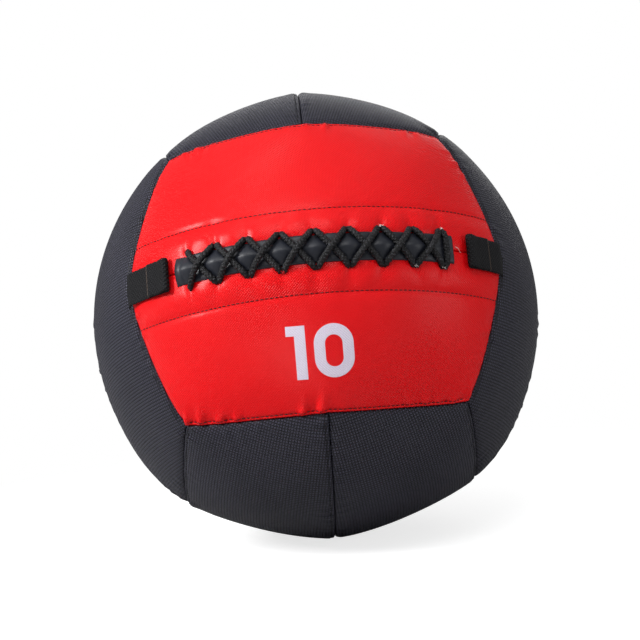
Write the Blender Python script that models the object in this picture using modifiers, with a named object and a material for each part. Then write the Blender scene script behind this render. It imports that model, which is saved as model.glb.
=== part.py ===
"""Laced wall ball: a soft, weighted ball sewn from twelve panels, filled through a laced slot in its front.

Metres, +Z up. The ball is modelled about its own centre with the laced face towards -Y. A parent empty
then tilts it back, so that this face looks a little upwards, and stands it on its two bottom panels.
The origin is the centre of the ball's outline on the floor.
"""

import math

import bmesh
import bpy
import numpy as np
from mathutils import Matrix, Vector

# The whole ball
BALL_RADIUS = 0.1752
TILT = math.radians(20)
REST_FLAT_DEPTH = 0.0005
CUT_OVERRUN = 0.002

# Its own weight makes it swell all round below its middle. It stands out where three panels meet, and
# along each face's middle seam, with the panels flatter between
SAG_SHARE = 0.024
SAG_ELEVATION = math.radians(-42)
SAG_SPREAD = math.radians(16)
CORNER_SHARE = 0.026
CORNER_SPREAD = math.radians(11.6)
CREST_SHARE = 0.018
CREST_SPREAD = math.radians(20)

# The cover's panels and the seams between them
MIDLINE_HALF_ANGLE = math.radians(51.45)
SEAM_BOW_SHARE = 0.016
COVER_THICKNESS = 0.0014
SEAM_DEPTH = 0.0012
SEAM_SPREAD = 0.006
SEAM_GAP = 0.0005
SEAM_ALLOWANCE = 0.008
SLOT_DEPTH = 0.0012
SLOT_SPREAD = 0.008
SLOT_LIP = 0.002

# The facings behind the slot's two edges
FACING_GAP = 0.0011
FACING_THICKNESS = 0.0012
FACING_END_CLEARANCE = 0.0140
FACING_WIDTH = 0.033
FACING_SLOT_CLEARANCE = 0.0005

# The lace and its holes
LACE_COLUMNS = 9
LACE_END_MARGIN = 0.0085
LACE_DIAMETER = 0.0035
LACE_HOLE_ROW = 0.0131
LACE_HOLE_CLEARANCE = 0.0007
LACE_STRAND_GAP = 0.0008
LACE_SEAT_GAP = 0.0006
LACE_SHOULDER_SHARE = 0.8
LACE_BEND_SHARE = 0.6
LACE_LEAN_SHARE = 0.1

# The padded strip under the lace
STRIP_END_CLEARANCE = 0.0070
STRIP_WIDTH = 0.0210
STRIP_CROWN = 0.0040
STRIP_PRESSED = 0.0014
STRIP_EDGE = 0.0010
STRIP_SEAT_GAP = 0.0004
STRIP_DRAW_IN = 0.0008

# The webbing straps
WEBBING_WIDTH = 0.025
WEBBING_THICKNESS = 0.0015
STRAP_SEAT_GAP = 0.0005
STRAP_LAYER_GAP = 0.0013
LEFT_STRAP_LENGTH = 0.0465
RIGHT_STRAP_LENGTH = 0.0405
LEFT_STRAP_TURN_BACK = 0.0245
RIGHT_STRAP_TURN_BACK = 0.0215
ROOT_GAP = 0.0004
STRAP_MOUTH_CLEARANCE = 0.0005

# The lace's knot
KNOT_LENGTH = 0.0100
KNOT_HEIGHT = 0.0084
KNOT_DEPTH = 0.0070
KNOT_GAP = 0.0003

# The inner bag and the filling
BAG_CLEARANCE = 0.0010
BAG_THICKNESS = 0.0008
BAG_SEAM_GAP = 0.0006
FILL_CLEARANCE = 0.0004
FILL_SPLIT_GAP = 0.0004

# The weight at the centre
POUCH_RADIUS = 0.046
POUCH_THICKNESS = 0.0010
POUCH_NECK_RADIUS = 0.010
POUCH_NECK_LENGTH = 0.016
POUCH_FLARE = 0.003
POUCH_TIE_DIAMETER = 0.003
POUCH_TIE_GAP = 0.0003
TIE_LEVEL_SHARE = 0.35
NECK_FLARE_LEVEL_SHARE = 0.6
POUCH_ROOM_CLEARANCE = 0.0005
SAND_CLEARANCE = 0.0003

# Points nearer together than this on a turning axis or a cut are one
MERGE_DISTANCE = 0.00001

# Counts of steps, cells and sides
SEAM_STEPS = 24
LACE_STEPS = 2
HOLE_SIDES = 8
STRIP_STEPS_PER_PITCH = 4
STRIP_LEVELS = 7
BAG_SEGMENTS = 20
BAG_RINGS = 12
TURNED_STEPS = 16
TIE_SIDES = 6
KNOT_SEGMENTS = 10
KNOT_RINGS = 6
FACING_PLACES = 17
FACING_LEVELS = 3
PANEL_CELLS = (5, 2)
FRONT_CELLS = (8, 3)
SEAM_STATION_SHARES = (0.0, 0.7, 1.5)

UP = np.array([0.0, -math.sin(TILT), math.cos(TILT)])
X_AXIS, Y_AXIS, Z_AXIS = np.eye(3)

# Each panel: its face's outward axis, the axis along the face's middle seam, and the axis it lies towards
PANELS = {
    "front_upper_panel": (-Y_AXIS, X_AXIS, Z_AXIS),
    "front_lower_panel": (-Y_AXIS, X_AXIS, -Z_AXIS),
    "back_upper_panel": (Y_AXIS, X_AXIS, Z_AXIS),
    "back_lower_panel": (Y_AXIS, X_AXIS, -Z_AXIS),
    "top_left_panel": (Z_AXIS, Y_AXIS, -X_AXIS),
    "top_right_panel": (Z_AXIS, Y_AXIS, X_AXIS),
    "bottom_left_panel": (-Z_AXIS, Y_AXIS, -X_AXIS),
    "bottom_right_panel": (-Z_AXIS, Y_AXIS, X_AXIS),
    "left_front_panel": (-X_AXIS, Z_AXIS, -Y_AXIS),
    "left_back_panel": (-X_AXIS, Z_AXIS, Y_AXIS),
    "right_front_panel": (X_AXIS, Z_AXIS, -Y_AXIS),
    "right_back_panel": (X_AXIS, Z_AXIS, Y_AXIS),
}


def unit(vectors):
    vectors = np.asarray(vectors, float)
    return vectors / np.linalg.norm(vectors, axis=-1, keepdims=True)


def great_arc(start, end, shares):
    """Directions along the great circle from start to end."""
    start, end = unit(start), unit(end)
    angle = math.acos(np.clip(start @ end, -1, 1))
    shares = np.asarray(shares)[:, None]
    return (np.sin((1 - shares) * angle) * start + np.sin(shares * angle) * end) / math.sin(angle)


def seam_arc(face, long_face, shares, corner):
    """Directions along a seam, from where the middle seam of one face meets its neighbour to a corner.

    The neighbour, long_face, has this seam along its long edge, and the seam bows a little towards it.
    """
    junction = math.cos(MIDLINE_HALF_ANGLE) * face + math.sin(MIDLINE_HALF_ANGLE) * long_face
    arc = great_arc(junction, corner, shares)
    bow = SEAM_BOW_SHARE * np.sin(math.pi * np.asarray(shares))[:, None]
    return unit(arc + bow * (long_face - (arc @ long_face)[:, None] * arc))


def long_edge(outward, along, across, places):
    """A panel's long edge, at places from -1 to 1: corner, its neighbour's middle seam, corner."""
    places = np.asarray(places, float)
    edge = np.empty((len(places), 3))
    for side in (-1, 1):
        chosen = places * side >= 0
        corner = outward + across + side * along
        edge[chosen] = seam_arc(across, outward, np.abs(places[chosen]), corner)
    return edge


def middle_edge(outward, along, places):
    angles = np.asarray(places, float)[:, None] * MIDLINE_HALF_ANGLE
    return np.cos(angles) * outward + np.sin(angles) * along


def short_edge(outward, along, across, side, shares):
    """A panel's short end, from its own middle seam to a corner."""
    corner = outward + across + side * along
    return seam_arc(outward, side * along, shares, corner)


def panel_directions(outward, along, across, places, shares):
    """Directions over a panel: places run along it from -1 to 1, shares across it from 0 to 1."""
    middle = middle_edge(outward, along, places)[:, None]
    far = long_edge(outward, along, across, places)[:, None]
    start = short_edge(outward, along, across, -1, shares)[None]
    end = short_edge(outward, along, across, 1, shares)[None]
    along_share = ((np.asarray(places) + 1) / 2)[:, None, None]
    across_share = np.asarray(shares)[None, :, None]
    edges = (1 - across_share) * middle + across_share * far
    ends = (1 - along_share) * start + along_share * end
    corners = (1 - along_share) * ((1 - across_share) * middle[0] + across_share * far[0])
    corners = corners + along_share * ((1 - across_share) * middle[-1] + across_share * far[-1])
    return unit(edges + ends - corners)


def seam_paths():
    """Every sewn seam as a row of directions, apart from the laced slot."""
    shares = np.linspace(0, 1, SEAM_STEPS)
    places = np.linspace(-1, 1, 2 * SEAM_STEPS)
    paths = []
    for name, (outward, along, across) in PANELS.items():
        paths += [short_edge(outward, along, across, side, shares) for side in (-1, 1)]
        if not name.startswith("front"):
            paths.append(middle_edge(outward, along, places))
    return paths


def distance_to(directions, paths):
    """Least distance over the ball from each direction to a set of paths."""
    starts = np.concatenate([path[:-1] for path in paths])
    runs = np.concatenate([path[1:] for path in paths]) - starts
    offsets = directions[:, None] - starts
    share = (offsets * runs).sum(axis=-1) / (runs * runs).sum(axis=-1)
    nearest = offsets - np.clip(share, 0, 1)[..., None] * runs
    return BALL_RADIUS * np.linalg.norm(nearest, axis=-1).min(axis=1)


def groove(distance, depth, spread):
    """Depth of a groove, or height of a crest, whose sides fall off to nothing at its spread."""
    return depth * np.clip(1 - distance / spread, 0, 1) ** 2


def swollen_radius(directions):
    """The stuffed ball's radius, before its seams draw it in."""
    elevation = np.arcsin(np.clip(directions @ UP, -1, 1))
    corner_angle = np.arccos(np.clip(np.abs(directions).sum(axis=-1) / math.sqrt(3), -1, 1))
    middle_angle = distance_to(directions, MIDDLES) / BALL_RADIUS
    sag = SAG_SHARE * np.exp(-(((elevation - SAG_ELEVATION) / SAG_SPREAD) ** 2))
    corner = CORNER_SHARE * np.exp(-((corner_angle / CORNER_SPREAD) ** 2))
    return BALL_RADIUS * (1 + sag + corner + groove(middle_angle, CREST_SHARE, CREST_SPREAD))


def seamed_radius(directions):
    """The cover's radius with its sewn seams drawn in, but not the slot."""
    return swollen_radius(directions) - groove(distance_to(directions, SEAMS), SEAM_DEPTH, SEAM_SPREAD)


def cover_radius(directions):
    slot = groove(distance_to(directions, [SLOT]), SLOT_DEPTH, SLOT_SPREAD)
    sewn = groove(distance_to(directions, SEAMS), SEAM_DEPTH, SEAM_SPREAD)
    return swollen_radius(directions) - np.maximum(slot, sewn)


def middle_paths():
    """Each face's middle seam, and the slot, as rows of directions."""
    places = np.linspace(-1, 1, SEAM_STEPS)
    return [middle_edge(outward, along, places) for outward, along, across in PANELS.values()]


MIDDLES = middle_paths()
SEAMS = seam_paths()
SLOT = middle_edge(-Y_AXIS, X_AXIS, np.linspace(-1, 1, 2 * SEAM_STEPS))
SLOT_HALF_LENGTH = BALL_RADIUS * MIDLINE_HALF_ANGLE

# The strip fills the slot between the straps, and the lace's holes are spread evenly along it
STRAP_REACH = max(LEFT_STRAP_LENGTH, RIGHT_STRAP_LENGTH)
STRIP_LENGTH = 2 * (SLOT_HALF_LENGTH - STRAP_REACH - STRIP_END_CLEARANCE)
LACE_PITCH = (STRIP_LENGTH - 2 * LACE_END_MARGIN) / (LACE_COLUMNS - 1)
FACING_HALF_LENGTH = SLOT_HALF_LENGTH - FACING_END_CLEARANCE


def front_points(along, up, height):
    """Points by arc length along the slot, arc length above it, and height over the cover."""
    along, up, height = np.broadcast_arrays(along, up, height)
    turn, rise = along / BALL_RADIUS, up / BALL_RADIUS
    level = np.cos(rise)
    directions = np.stack([level * np.sin(turn), -level * np.cos(turn), np.sin(rise)], axis=-1)
    radius = seamed_radius(directions.reshape(-1, 3)).reshape(along.shape) + height
    return directions * radius[..., None]


def front_frame(along, up):
    """Matrix of a place on the front: X along the slot, Y across it, Z out of the ball, at the cover."""
    point = front_points(along, up, 0)
    turn, rise = along / BALL_RADIUS, up / BALL_RADIUS
    x_axis = np.array([math.cos(turn), math.sin(turn), 0])
    z_axis = np.array([math.cos(rise) * math.sin(turn), -math.cos(rise) * math.cos(turn), math.sin(rise)])
    matrix = np.eye(4)
    matrix[:3, 0] = x_axis
    matrix[:3, 1] = np.cross(z_axis, x_axis)
    matrix[:3, 2] = z_axis
    matrix[:3, 3] = point
    return Matrix(matrix.tolist())


def material(name, colour, roughness, metallic=0.0):
    made = bpy.data.materials.new(name)
    made.use_nodes = True
    shader = made.node_tree.nodes["Principled BSDF"]
    shader.inputs["Base Color"].default_value = (*colour, 1.0)
    shader.inputs["Roughness"].default_value = roughness
    shader.inputs["Metallic"].default_value = metallic
    return made


def place(obj, parent, collection):
    collection.objects.link(obj)
    obj.parent = parent
    return obj


def object_from(name, mesh, parent, look, smooth=True):
    """A part from a bmesh, which is used up."""
    data = bpy.data.meshes.new(name)
    mesh.normal_update()
    bmesh.ops.recalc_face_normals(mesh, faces=mesh.faces)
    mesh.to_mesh(data)
    mesh.free()
    data.materials.append(look)
    if smooth:
        data.shade_smooth()
        data.set_sharp_from_angle(angle=math.radians(40))
    return place(bpy.data.objects.new(name, data), parent, PARTS)


def cutter_from(name, mesh, parent):
    data = bpy.data.meshes.new(name)
    mesh.normal_update()
    bmesh.ops.recalc_face_normals(mesh, faces=mesh.faces)
    mesh.to_mesh(data)
    mesh.free()
    cutter = place(bpy.data.objects.new(name, data), parent, CUTTERS)
    cutter.hide_render = True
    cutter.display_type = "WIRE"
    return cutter


def solidify(obj, thickness, offset=-1.0):
    shell = obj.modifiers.new("thickness", "SOLIDIFY")
    shell.thickness = thickness
    shell.offset = offset
    shell.use_even_offset = True
    return shell


def cut(obj, cutter):
    boolean = obj.modifiers.new("cut by " + cutter.name, "BOOLEAN")
    boolean.operation = "DIFFERENCE"
    boolean.solver = "EXACT"
    boolean.object = cutter


def seam_stations(count, half_length):
    """Shares from 0 to 1: close together at the drawn-in seam, then even to the middle of the piece."""
    near = [share * SEAM_SPREAD / half_length for share in SEAM_STATION_SHARES]
    return near + list(np.linspace(near[-1], 1, count + 1)[1:])


def inward(path, centre):
    """Unit vectors over the ball, square to a path and towards centre."""
    tangents = np.gradient(path, axis=0)
    sideways = unit(np.cross(path, tangents))
    return sideways * np.sign(sideways @ centre)[:, None]


def panel_mesh(outward, along, across, slot_edge):
    """A panel's outer surface, with its four edges turned in as seam allowances, as an open mesh."""
    length_cells, width_cells = FRONT_CELLS if slot_edge else PANEL_CELLS
    middle_half = BALL_RADIUS * MIDLINE_HALF_ANGLE
    half = np.array(seam_stations(length_cells, middle_half))
    places = np.concatenate([half - 1, 1 - half[:-1][::-1]])
    half_width = BALL_RADIUS * (math.pi / 2 - MIDLINE_HALF_ANGLE) / 2
    shares = np.array(seam_stations(width_cells, half_width)) / 2
    shares = np.concatenate([shares, 1 - shares[:-1][::-1]])
    directions = panel_directions(outward, along, across, places, shares)
    centre = directions[len(places) // 2, len(shares) // 2]

    # The lip of each edge stands half the gap back from the seam, and each corner from both of its seams
    step = SEAM_GAP / 2 / BALL_RADIUS
    offsets = np.zeros_like(directions)
    near, far = inward(directions[:, 0], centre), inward(directions[:, -1], centre)
    start, end = inward(directions[0], centre), inward(directions[-1], centre)
    offsets[:, 0], offsets[:, -1] = near, far
    offsets[0], offsets[-1] = start, end
    for i, first in ((0, start), (-1, end)):
        for j, second in ((0, near), (-1, far)):
            both = first[j] + second[i]
            offsets[i, j] = both / (1 + first[j] @ second[i])
    directions = unit(directions + step * offsets)

    radii = cover_radius(directions.reshape(-1, 3)).reshape(directions.shape[:2])
    mesh = bmesh.new()
    rows, columns = directions.shape[:2]
    surface = [
        [mesh.verts.new(directions[i, j] * radii[i, j]) for j in range(columns)] for i in range(rows)
    ]
    for i in range(rows - 1):
        for j in range(columns - 1):
            mesh.faces.new((surface[i][j], surface[i + 1][j], surface[i + 1][j + 1], surface[i][j + 1]))

    def turned_in(i, j, depth):
        return mesh.verts.new(directions[i, j] * (radii[i, j] - depth))

    near_depth = SLOT_LIP if slot_edge else SEAM_ALLOWANCE
    near_row = [turned_in(i, 0, near_depth) for i in range(rows)]
    far_row = [turned_in(i, columns - 1, SEAM_ALLOWANCE) for i in range(rows)]
    for i in range(rows - 1):
        mesh.faces.new((surface[i][0], surface[i + 1][0], near_row[i + 1], near_row[i]))
        mesh.faces.new((surface[i][-1], surface[i + 1][-1], far_row[i + 1], far_row[i]))
    for i in (0, rows - 1):
        end_row = [near_row[i]] + [turned_in(i, j, SEAM_ALLOWANCE) for j in range(1, columns - 1)]
        end_row.append(far_row[i])
        if slot_edge:
            # The slot's lip is shallower than the end's allowance, so its corner is a point on that edge
            deep = turned_in(i, 0, SEAM_ALLOWANCE)
            mesh.faces.new((surface[i][0], surface[i][1], end_row[1], deep, near_row[i]))
        else:
            mesh.faces.new((surface[i][0], surface[i][1], end_row[1], end_row[0]))
        for j in range(1, columns - 1):
            mesh.faces.new((surface[i][j], surface[i][j + 1], end_row[j + 1], end_row[j]))
    return mesh


def tilted(points):
    """Points of the ball as the world sees them about its centre."""
    return points @ np.array(Matrix.Rotation(-TILT, 3, "X")).T


def outer_points():
    """Points over the whole cover."""
    places = np.linspace(-1, 1, 2 * SEAM_STEPS + 1)
    shares = np.linspace(0, 1, SEAM_STEPS)
    found = []
    for outward, along, across in PANELS.values():
        directions = panel_directions(outward, along, across, places, shares).reshape(-1, 3)
        found.append(directions * cover_radius(directions)[:, None])
    return np.concatenate(found)


def grid_object(name, points, parent, look, thickness, offset=-1.0):
    """An open grid of points made a shell of even thickness."""
    mesh = bmesh.new()
    rows, columns = points.shape[:2]
    verts = [[mesh.verts.new(points[i, j]) for j in range(columns)] for i in range(rows)]
    for i in range(rows - 1):
        for j in range(columns - 1):
            mesh.faces.new((verts[i][j], verts[i + 1][j], verts[i + 1][j + 1], verts[i][j + 1]))
    obj = object_from(name, mesh, parent, look)
    solidify(obj, thickness, offset)
    return obj


def column_place(column):
    """Arc length of a lace column along the slot, from the slot's middle."""
    return (column - (LACE_COLUMNS - 1) / 2) * LACE_PITCH


def hole_cutters(parent):
    """Oblong pins, one for each lace hole, wide enough for two strands side by side."""
    mesh = bmesh.new()
    radius = LACE_DIAMETER / 2 + LACE_HOLE_CLEARANCE
    depth = COVER_THICKNESS + FACING_GAP + FACING_THICKNESS + 2 * CUT_OVERRUN
    for column in range(LACE_COLUMNS):
        for side in (-1, 1):
            made = bmesh.ops.create_cone(
                mesh, cap_ends=True, segments=HOLE_SIDES, radius1=radius, radius2=radius, depth=depth,
                matrix=Matrix.Rotation(math.pi / HOLE_SIDES, 4, "Z"),
            )
            frame = front_frame(column_place(column), side * LACE_HOLE_ROW)
            for vert in made["verts"]:
                vert.co.x += math.copysign(strand_offset(), vert.co.x)
                vert.co.z -= depth / 2 - CUT_OVERRUN
                vert.co = frame @ vert.co
    return cutter_from("lace_hole_cutters", mesh, parent)


def strand_offset():
    """How far each of a hole's two strands lies to its side of the hole's middle."""
    return (LACE_DIAMETER + LACE_STRAND_GAP) / 2


def junction_frame(side):
    """Frame of a strap's hinge: X over the panel towards the slot's middle, Z out of the ball."""
    frame = front_frame(side * SLOT_HALF_LENGTH, 0)
    turn = Matrix.Rotation(math.pi if side > 0 else 0, 4, "Z")
    lift = STRAP_SEAT_GAP + WEBBING_THICKNESS / 2
    return frame @ Matrix.Translation((0, 0, lift)) @ turn


def mouth_cutters(parent):
    """Boxes that notch the seam allowances where the webbing passes through the side seams."""
    mesh = bmesh.new()
    front = WEBBING_THICKNESS / 2 + STRAP_MOUTH_CLEARANCE
    back = SEAM_GAP + COVER_THICKNESS + front
    depth = SEAM_ALLOWANCE + 2 * CUT_OVERRUN
    width = WEBBING_WIDTH + 2 * STRAP_MOUTH_CLEARANCE
    for side in (-1, 1):
        made = bmesh.ops.create_cube(mesh, size=1)
        frame = junction_frame(side)
        for vert in made["verts"]:
            vert.co = Vector((vert.co.x * (front + back), vert.co.y * width, vert.co.z * depth))
            vert.co += Vector(((front - back) / 2, 0, -depth / 2))
            vert.co = frame @ vert.co
    return cutter_from("strap_mouth_cutters", mesh, parent)


def smooth_route(points, straight):
    """Points read from a smooth curve through the route's own points, so many to each stretch of it.

    The stretches numbered in straight hold only their own two points.
    """
    points = np.asarray(points)
    padded = np.concatenate([[2 * points[0] - points[1]], points, [2 * points[-1] - points[-2]]])
    knots = np.concatenate([[0], np.cumsum(np.sqrt(np.linalg.norm(np.diff(padded, axis=0), axis=1)))])
    dense = []
    for i in range(1, len(padded) - 2):
        t0, t1, t2, t3 = knots[i - 1 : i + 3]
        p0, p1, p2, p3 = padded[i - 1 : i + 3]
        steps = 1 if i in straight else LACE_STEPS
        t = np.linspace(t1, t2, steps, endpoint=False)[:, None]
        a1 = (t1 - t) / (t1 - t0) * p0 + (t - t0) / (t1 - t0) * p1
        a2 = (t2 - t) / (t2 - t1) * p1 + (t - t1) / (t2 - t1) * p2
        a3 = (t3 - t) / (t3 - t2) * p2 + (t - t2) / (t3 - t2) * p3
        b1 = (t2 - t) / (t2 - t0) * a1 + (t - t0) / (t2 - t0) * a2
        b2 = (t3 - t) / (t3 - t1) * a2 + (t - t1) / (t3 - t1) * a3
        dense.extend((t2 - t) / (t2 - t1) * b1 + (t - t1) / (t2 - t1) * b2)
    return np.array(dense + [points[-1]])


def lace_route():
    """The lace's centre line: two strands that cross over the strip and run up and down behind the cover.

    It starts at the knot, goes out of the first upper hole and down to the right, up behind the cover, and
    so on to the last column. There it runs once over the strip, and it comes back as the other strand.
    """
    radius = LACE_DIAMETER / 2
    inner = COVER_THICKNESS + FACING_GAP + FACING_THICKNESS
    shallow = -(inner + LACE_SEAT_GAP + radius)
    deep = shallow - LACE_DIAMETER - LACE_STRAND_GAP
    low = STRIP_SEAT_GAP + STRIP_PRESSED + LACE_SEAT_GAP + radius
    high = low + LACE_DIAMETER + LACE_STRAND_GAP
    row = LACE_HOLE_ROW
    side = strand_offset()
    shoulder = row - LACE_SHOULDER_SHARE * LACE_DIAMETER
    bend = row - LACE_BEND_SHARE * LACE_DIAMETER

    def through(place, edge, going_in):
        """Straight through the cover and its facing, at the upper row or the lower one."""
        outer = (place, edge * row, LACE_SEAT_GAP)
        inside = (place, edge * row, -inner)
        return [outer, inside] if going_in else [inside, outer]

    def over(start, end, edge, middle_height):
        """Across the strip, from a hole in the edge row to one in the other row."""
        part = LACE_LEAN_SHARE * (end - start)
        return [
            (start + part, edge * shoulder, low),
            ((start + end) / 2, 0, middle_height),
            (end - part, -edge * shoulder, low),
        ]

    def behind(start, end, edge, depth):
        """Behind the cover, from a hole in the edge row to the one in the other row."""
        part = LACE_LEAN_SHARE * (end - start)
        return [
            (start + part, edge * bend, depth),
            ((start + end) / 2, 0, depth),
            (end - part, -edge * bend, depth),
        ]

    first = column_place(0) + side
    tail = KNOT_HEIGHT / 2 + KNOT_GAP
    knot_level = -knot_depth()
    route = [(first, tail, knot_level), (first, bend, shallow)]
    route += through(first, 1, False)
    for column in range(1, LACE_COLUMNS):
        left, right = column_place(column) - side, column_place(column) + side
        route += over(column_place(column - 1) + side, left, 1, low)
        route += through(left, -1, True)
        route += behind(left, right, -1, shallow)
        route += through(right, 1, False)
    last = column_place(LACE_COLUMNS - 1)
    route += over(last + side, last + side, 1, low)
    route += through(last + side, -1, True)
    for column in range(LACE_COLUMNS - 1, 0, -1):
        left, right = column_place(column) - side, column_place(column) + side
        route += behind(right, left, -1, deep)
        route += through(left, 1, False)
        route += over(left, column_place(column - 1) + side, 1, high)
        route += through(column_place(column - 1) + side, -1, True)
    route += [(first, -bend, shallow), (first, -tail, knot_level)]
    heights = [height for _, _, height in route]
    straight = [i for i in range(1, len(route)) if {heights[i - 1], heights[i]} == {LACE_SEAT_GAP, -inner}]
    return smooth_route(front_points(*np.array(route).T), straight)


def knot_depth():
    """Depth of the knot's middle behind the cover: clear of the facings, and of the inner bag."""
    inner = COVER_THICKNESS + FACING_GAP + FACING_THICKNESS
    return inner + LACE_SEAT_GAP + KNOT_DEPTH / 2


def least_gap(points, diameter):
    """The least gap between two stretches of a tube that aren't neighbours along it."""
    length = np.concatenate([[0], np.cumsum(np.linalg.norm(np.diff(points, axis=0), axis=1))])
    apart = np.linalg.norm(points[:, None] - points[None], axis=-1)
    near = np.abs(length[:, None] - length[None]) < 2.5 * diameter
    apart[near] = np.inf
    return apart.min() - diameter


def lace(parent, look):
    route = lace_route()
    curve = bpy.data.curves.new("lace", "CURVE")
    curve.dimensions = "3D"
    curve.bevel_depth = LACE_DIAMETER / 2
    curve.bevel_resolution = 1
    curve.use_fill_caps = True
    spline = curve.splines.new("POLY")
    spline.points.add(len(route) - 1)
    for point, place_ in zip(spline.points, route):
        point.co = (*place_, 1)
    curve.materials.append(look)
    print(f"lace: {len(route)} points, least gap to itself {1000 * least_gap(route, LACE_DIAMETER):.2f} mm")
    return place(bpy.data.objects.new("lace", curve), parent, PARTS)


def lacing_strip(parent, look):
    """The padded strip: a pillow at each lace column, pressed flat where the lace crosses it.

    At the last column the lace runs straight over it, so there it has no pillow.
    """
    steps = round(STRIP_LENGTH / LACE_PITCH * STRIP_STEPS_PER_PITCH)
    steps += steps % 2
    places = np.linspace(-STRIP_LENGTH / 2, STRIP_LENGTH / 2, steps + 1)
    shares = np.linspace(-1, 1, STRIP_LEVELS)
    columns = np.array([column_place(column) for column in range(LACE_COLUMNS - 1)])
    from_column = np.abs(places[:, None] - columns[None]).min(axis=1) / (LACE_PITCH / 2)
    half_width = STRIP_WIDTH / 2 - STRIP_DRAW_IN * np.clip(1 - from_column, 0, 1)
    diamond = from_column[:, None] + np.abs(shares)[None]
    pillow = np.clip(1 - diamond**2, 0, 1) ** 2
    top = STRIP_PRESSED + (STRIP_CROWN - STRIP_PRESSED) * pillow
    top[:, [0, -1]] = STRIP_EDGE
    end_drop = np.ones_like(places)
    end_drop[[0, -1]] = STRIP_EDGE / STRIP_PRESSED
    top = top * end_drop[:, None]
    up = half_width[:, None] * shares[None]
    upper = front_points(places[:, None], up, STRIP_SEAT_GAP + top)
    lower = front_points(places[:, None], up, STRIP_SEAT_GAP)
    mesh = bmesh.new()
    rings = []
    for i in range(len(places)):
        ring = [mesh.verts.new(point) for point in upper[i]]
        ring += [mesh.verts.new(point) for point in lower[i, ::-1]]
        rings.append(ring)
    for first, second in zip(rings[:-1], rings[1:]):
        for k in range(len(first)):
            after = (k + 1) % len(first)
            mesh.faces.new((first[k], first[after], second[after], second[k]))
    mesh.faces.new(rings[0])
    mesh.faces.new(rings[-1])
    return object_from("lacing_strip", mesh, parent, look)


def facing(name, side, parent, look):
    """Doubled cloth behind a front panel, along the slot."""
    inner = COVER_THICKNESS + FACING_GAP
    start = SEAM_GAP / 2 + COVER_THICKNESS + FACING_SLOT_CLEARANCE
    places = np.linspace(-FACING_HALF_LENGTH, FACING_HALF_LENGTH, FACING_PLACES)
    levels = side * np.linspace(start, FACING_WIDTH, FACING_LEVELS)
    points = front_points(places[:, None], levels[None], -inner)
    return grid_object(name, points, parent, look, FACING_THICKNESS)


def strap(name, side, length, turn_back, parent, look):
    """The free part of a webbing strap, hinged at the side seam and folded back on itself at its end."""
    lift = STRAP_SEAT_GAP + WEBBING_THICKNESS / 2
    rise = WEBBING_THICKNESS + STRAP_LAYER_GAP
    fold_radius = rise / 2
    start = SLOT_HALF_LENGTH
    fold = start - length + fold_radius
    heights = []
    steps = 9
    for share in np.linspace(0, 1, steps):
        heights.append((start + share * (fold - start), lift))
    for angle in np.linspace(-math.pi / 2, math.pi / 2, 6)[1:-1]:
        heights.append((fold - fold_radius * math.cos(angle), lift + fold_radius * (1 + math.sin(angle))))
    for share in np.linspace(0, 1, 6):
        heights.append((fold + share * (turn_back - fold_radius), lift + rise))
    along, height = np.array(heights).T
    middle = front_points(side * along, 0, height)
    half = WEBBING_WIDTH / 2 * Z_AXIS
    hinge = junction_frame(side)
    local = np.array(hinge.inverted())
    points = np.stack([middle - half, middle, middle + half], axis=1)
    points = points @ local[:3, :3].T + local[:3, 3]
    obj = grid_object(name, points, parent, look, WEBBING_THICKNESS, 0.0)
    obj.matrix_local = hinge
    return obj


def strap_root(name, side, parent, look):
    """The webbing where it is sewn into the side seam, as deep as the seam allowance."""
    mesh = bmesh.new()
    bmesh.ops.create_cube(mesh, size=1)
    top = -(WEBBING_THICKNESS / 2 + ROOT_GAP)
    depth = SEAM_ALLOWANCE + STRAP_SEAT_GAP + WEBBING_THICKNESS / 2 + top
    for vert in mesh.verts:
        vert.co.x *= WEBBING_THICKNESS
        vert.co.y *= WEBBING_WIDTH
        vert.co.z = (vert.co.z - 0.5) * depth + top
    obj = object_from(name, mesh, parent, look, smooth=False)
    obj.matrix_local = junction_frame(side)
    return obj


def lace_knot(parent, look):
    mesh = bmesh.new()
    bmesh.ops.create_uvsphere(mesh, u_segments=KNOT_SEGMENTS, v_segments=KNOT_RINGS, radius=1)
    frame = front_frame(column_place(0) + strand_offset(), 0)
    for vert in mesh.verts:
        vert.co.x *= KNOT_LENGTH / 2
        vert.co.y *= KNOT_HEIGHT / 2
        vert.co.z = vert.co.z * KNOT_DEPTH / 2 - knot_depth()
        vert.co = frame @ vert.co
    return object_from("lace_knot", mesh, parent, look)


def bag_depth():
    """Depth of the inner bag's outer surface under the stuffed ball's.

    It is clear of the seam allowances, the knot and the lace's deeper run behind the cover.
    """
    inner = COVER_THICKNESS + FACING_GAP + FACING_THICKNESS
    lace_bottom = inner + LACE_SEAT_GAP + 2 * LACE_DIAMETER + LACE_STRAND_GAP
    knot_bottom = knot_depth() + KNOT_DEPTH / 2
    return max(SEAM_DEPTH + SEAM_ALLOWANCE, lace_bottom, knot_bottom) + BAG_CLEARANCE


def half_ball(side, depth, gap):
    """Half of a ball at a depth under the stuffed ball's surface, open at its flat side, at +Y or -Y."""
    mesh = bmesh.new()
    bmesh.ops.create_uvsphere(mesh, u_segments=BAG_SEGMENTS, v_segments=BAG_RINGS, radius=1)
    plane = {"plane_co": (0, 0, 0), "plane_no": (0, side, 0)}
    everything = mesh.verts[:] + mesh.edges[:] + mesh.faces[:]
    bmesh.ops.bisect_plane(mesh, geom=everything, dist=MERGE_DISTANCE, clear_inner=True, **plane)
    directions = unit(np.array([vert.co for vert in mesh.verts]))
    radii = swollen_radius(directions) - depth
    for vert, direction, radius in zip(mesh.verts, directions, radii):
        vert.co = Vector(direction * radius) + Vector((0, side * gap / 2, 0))
    return mesh


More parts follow.
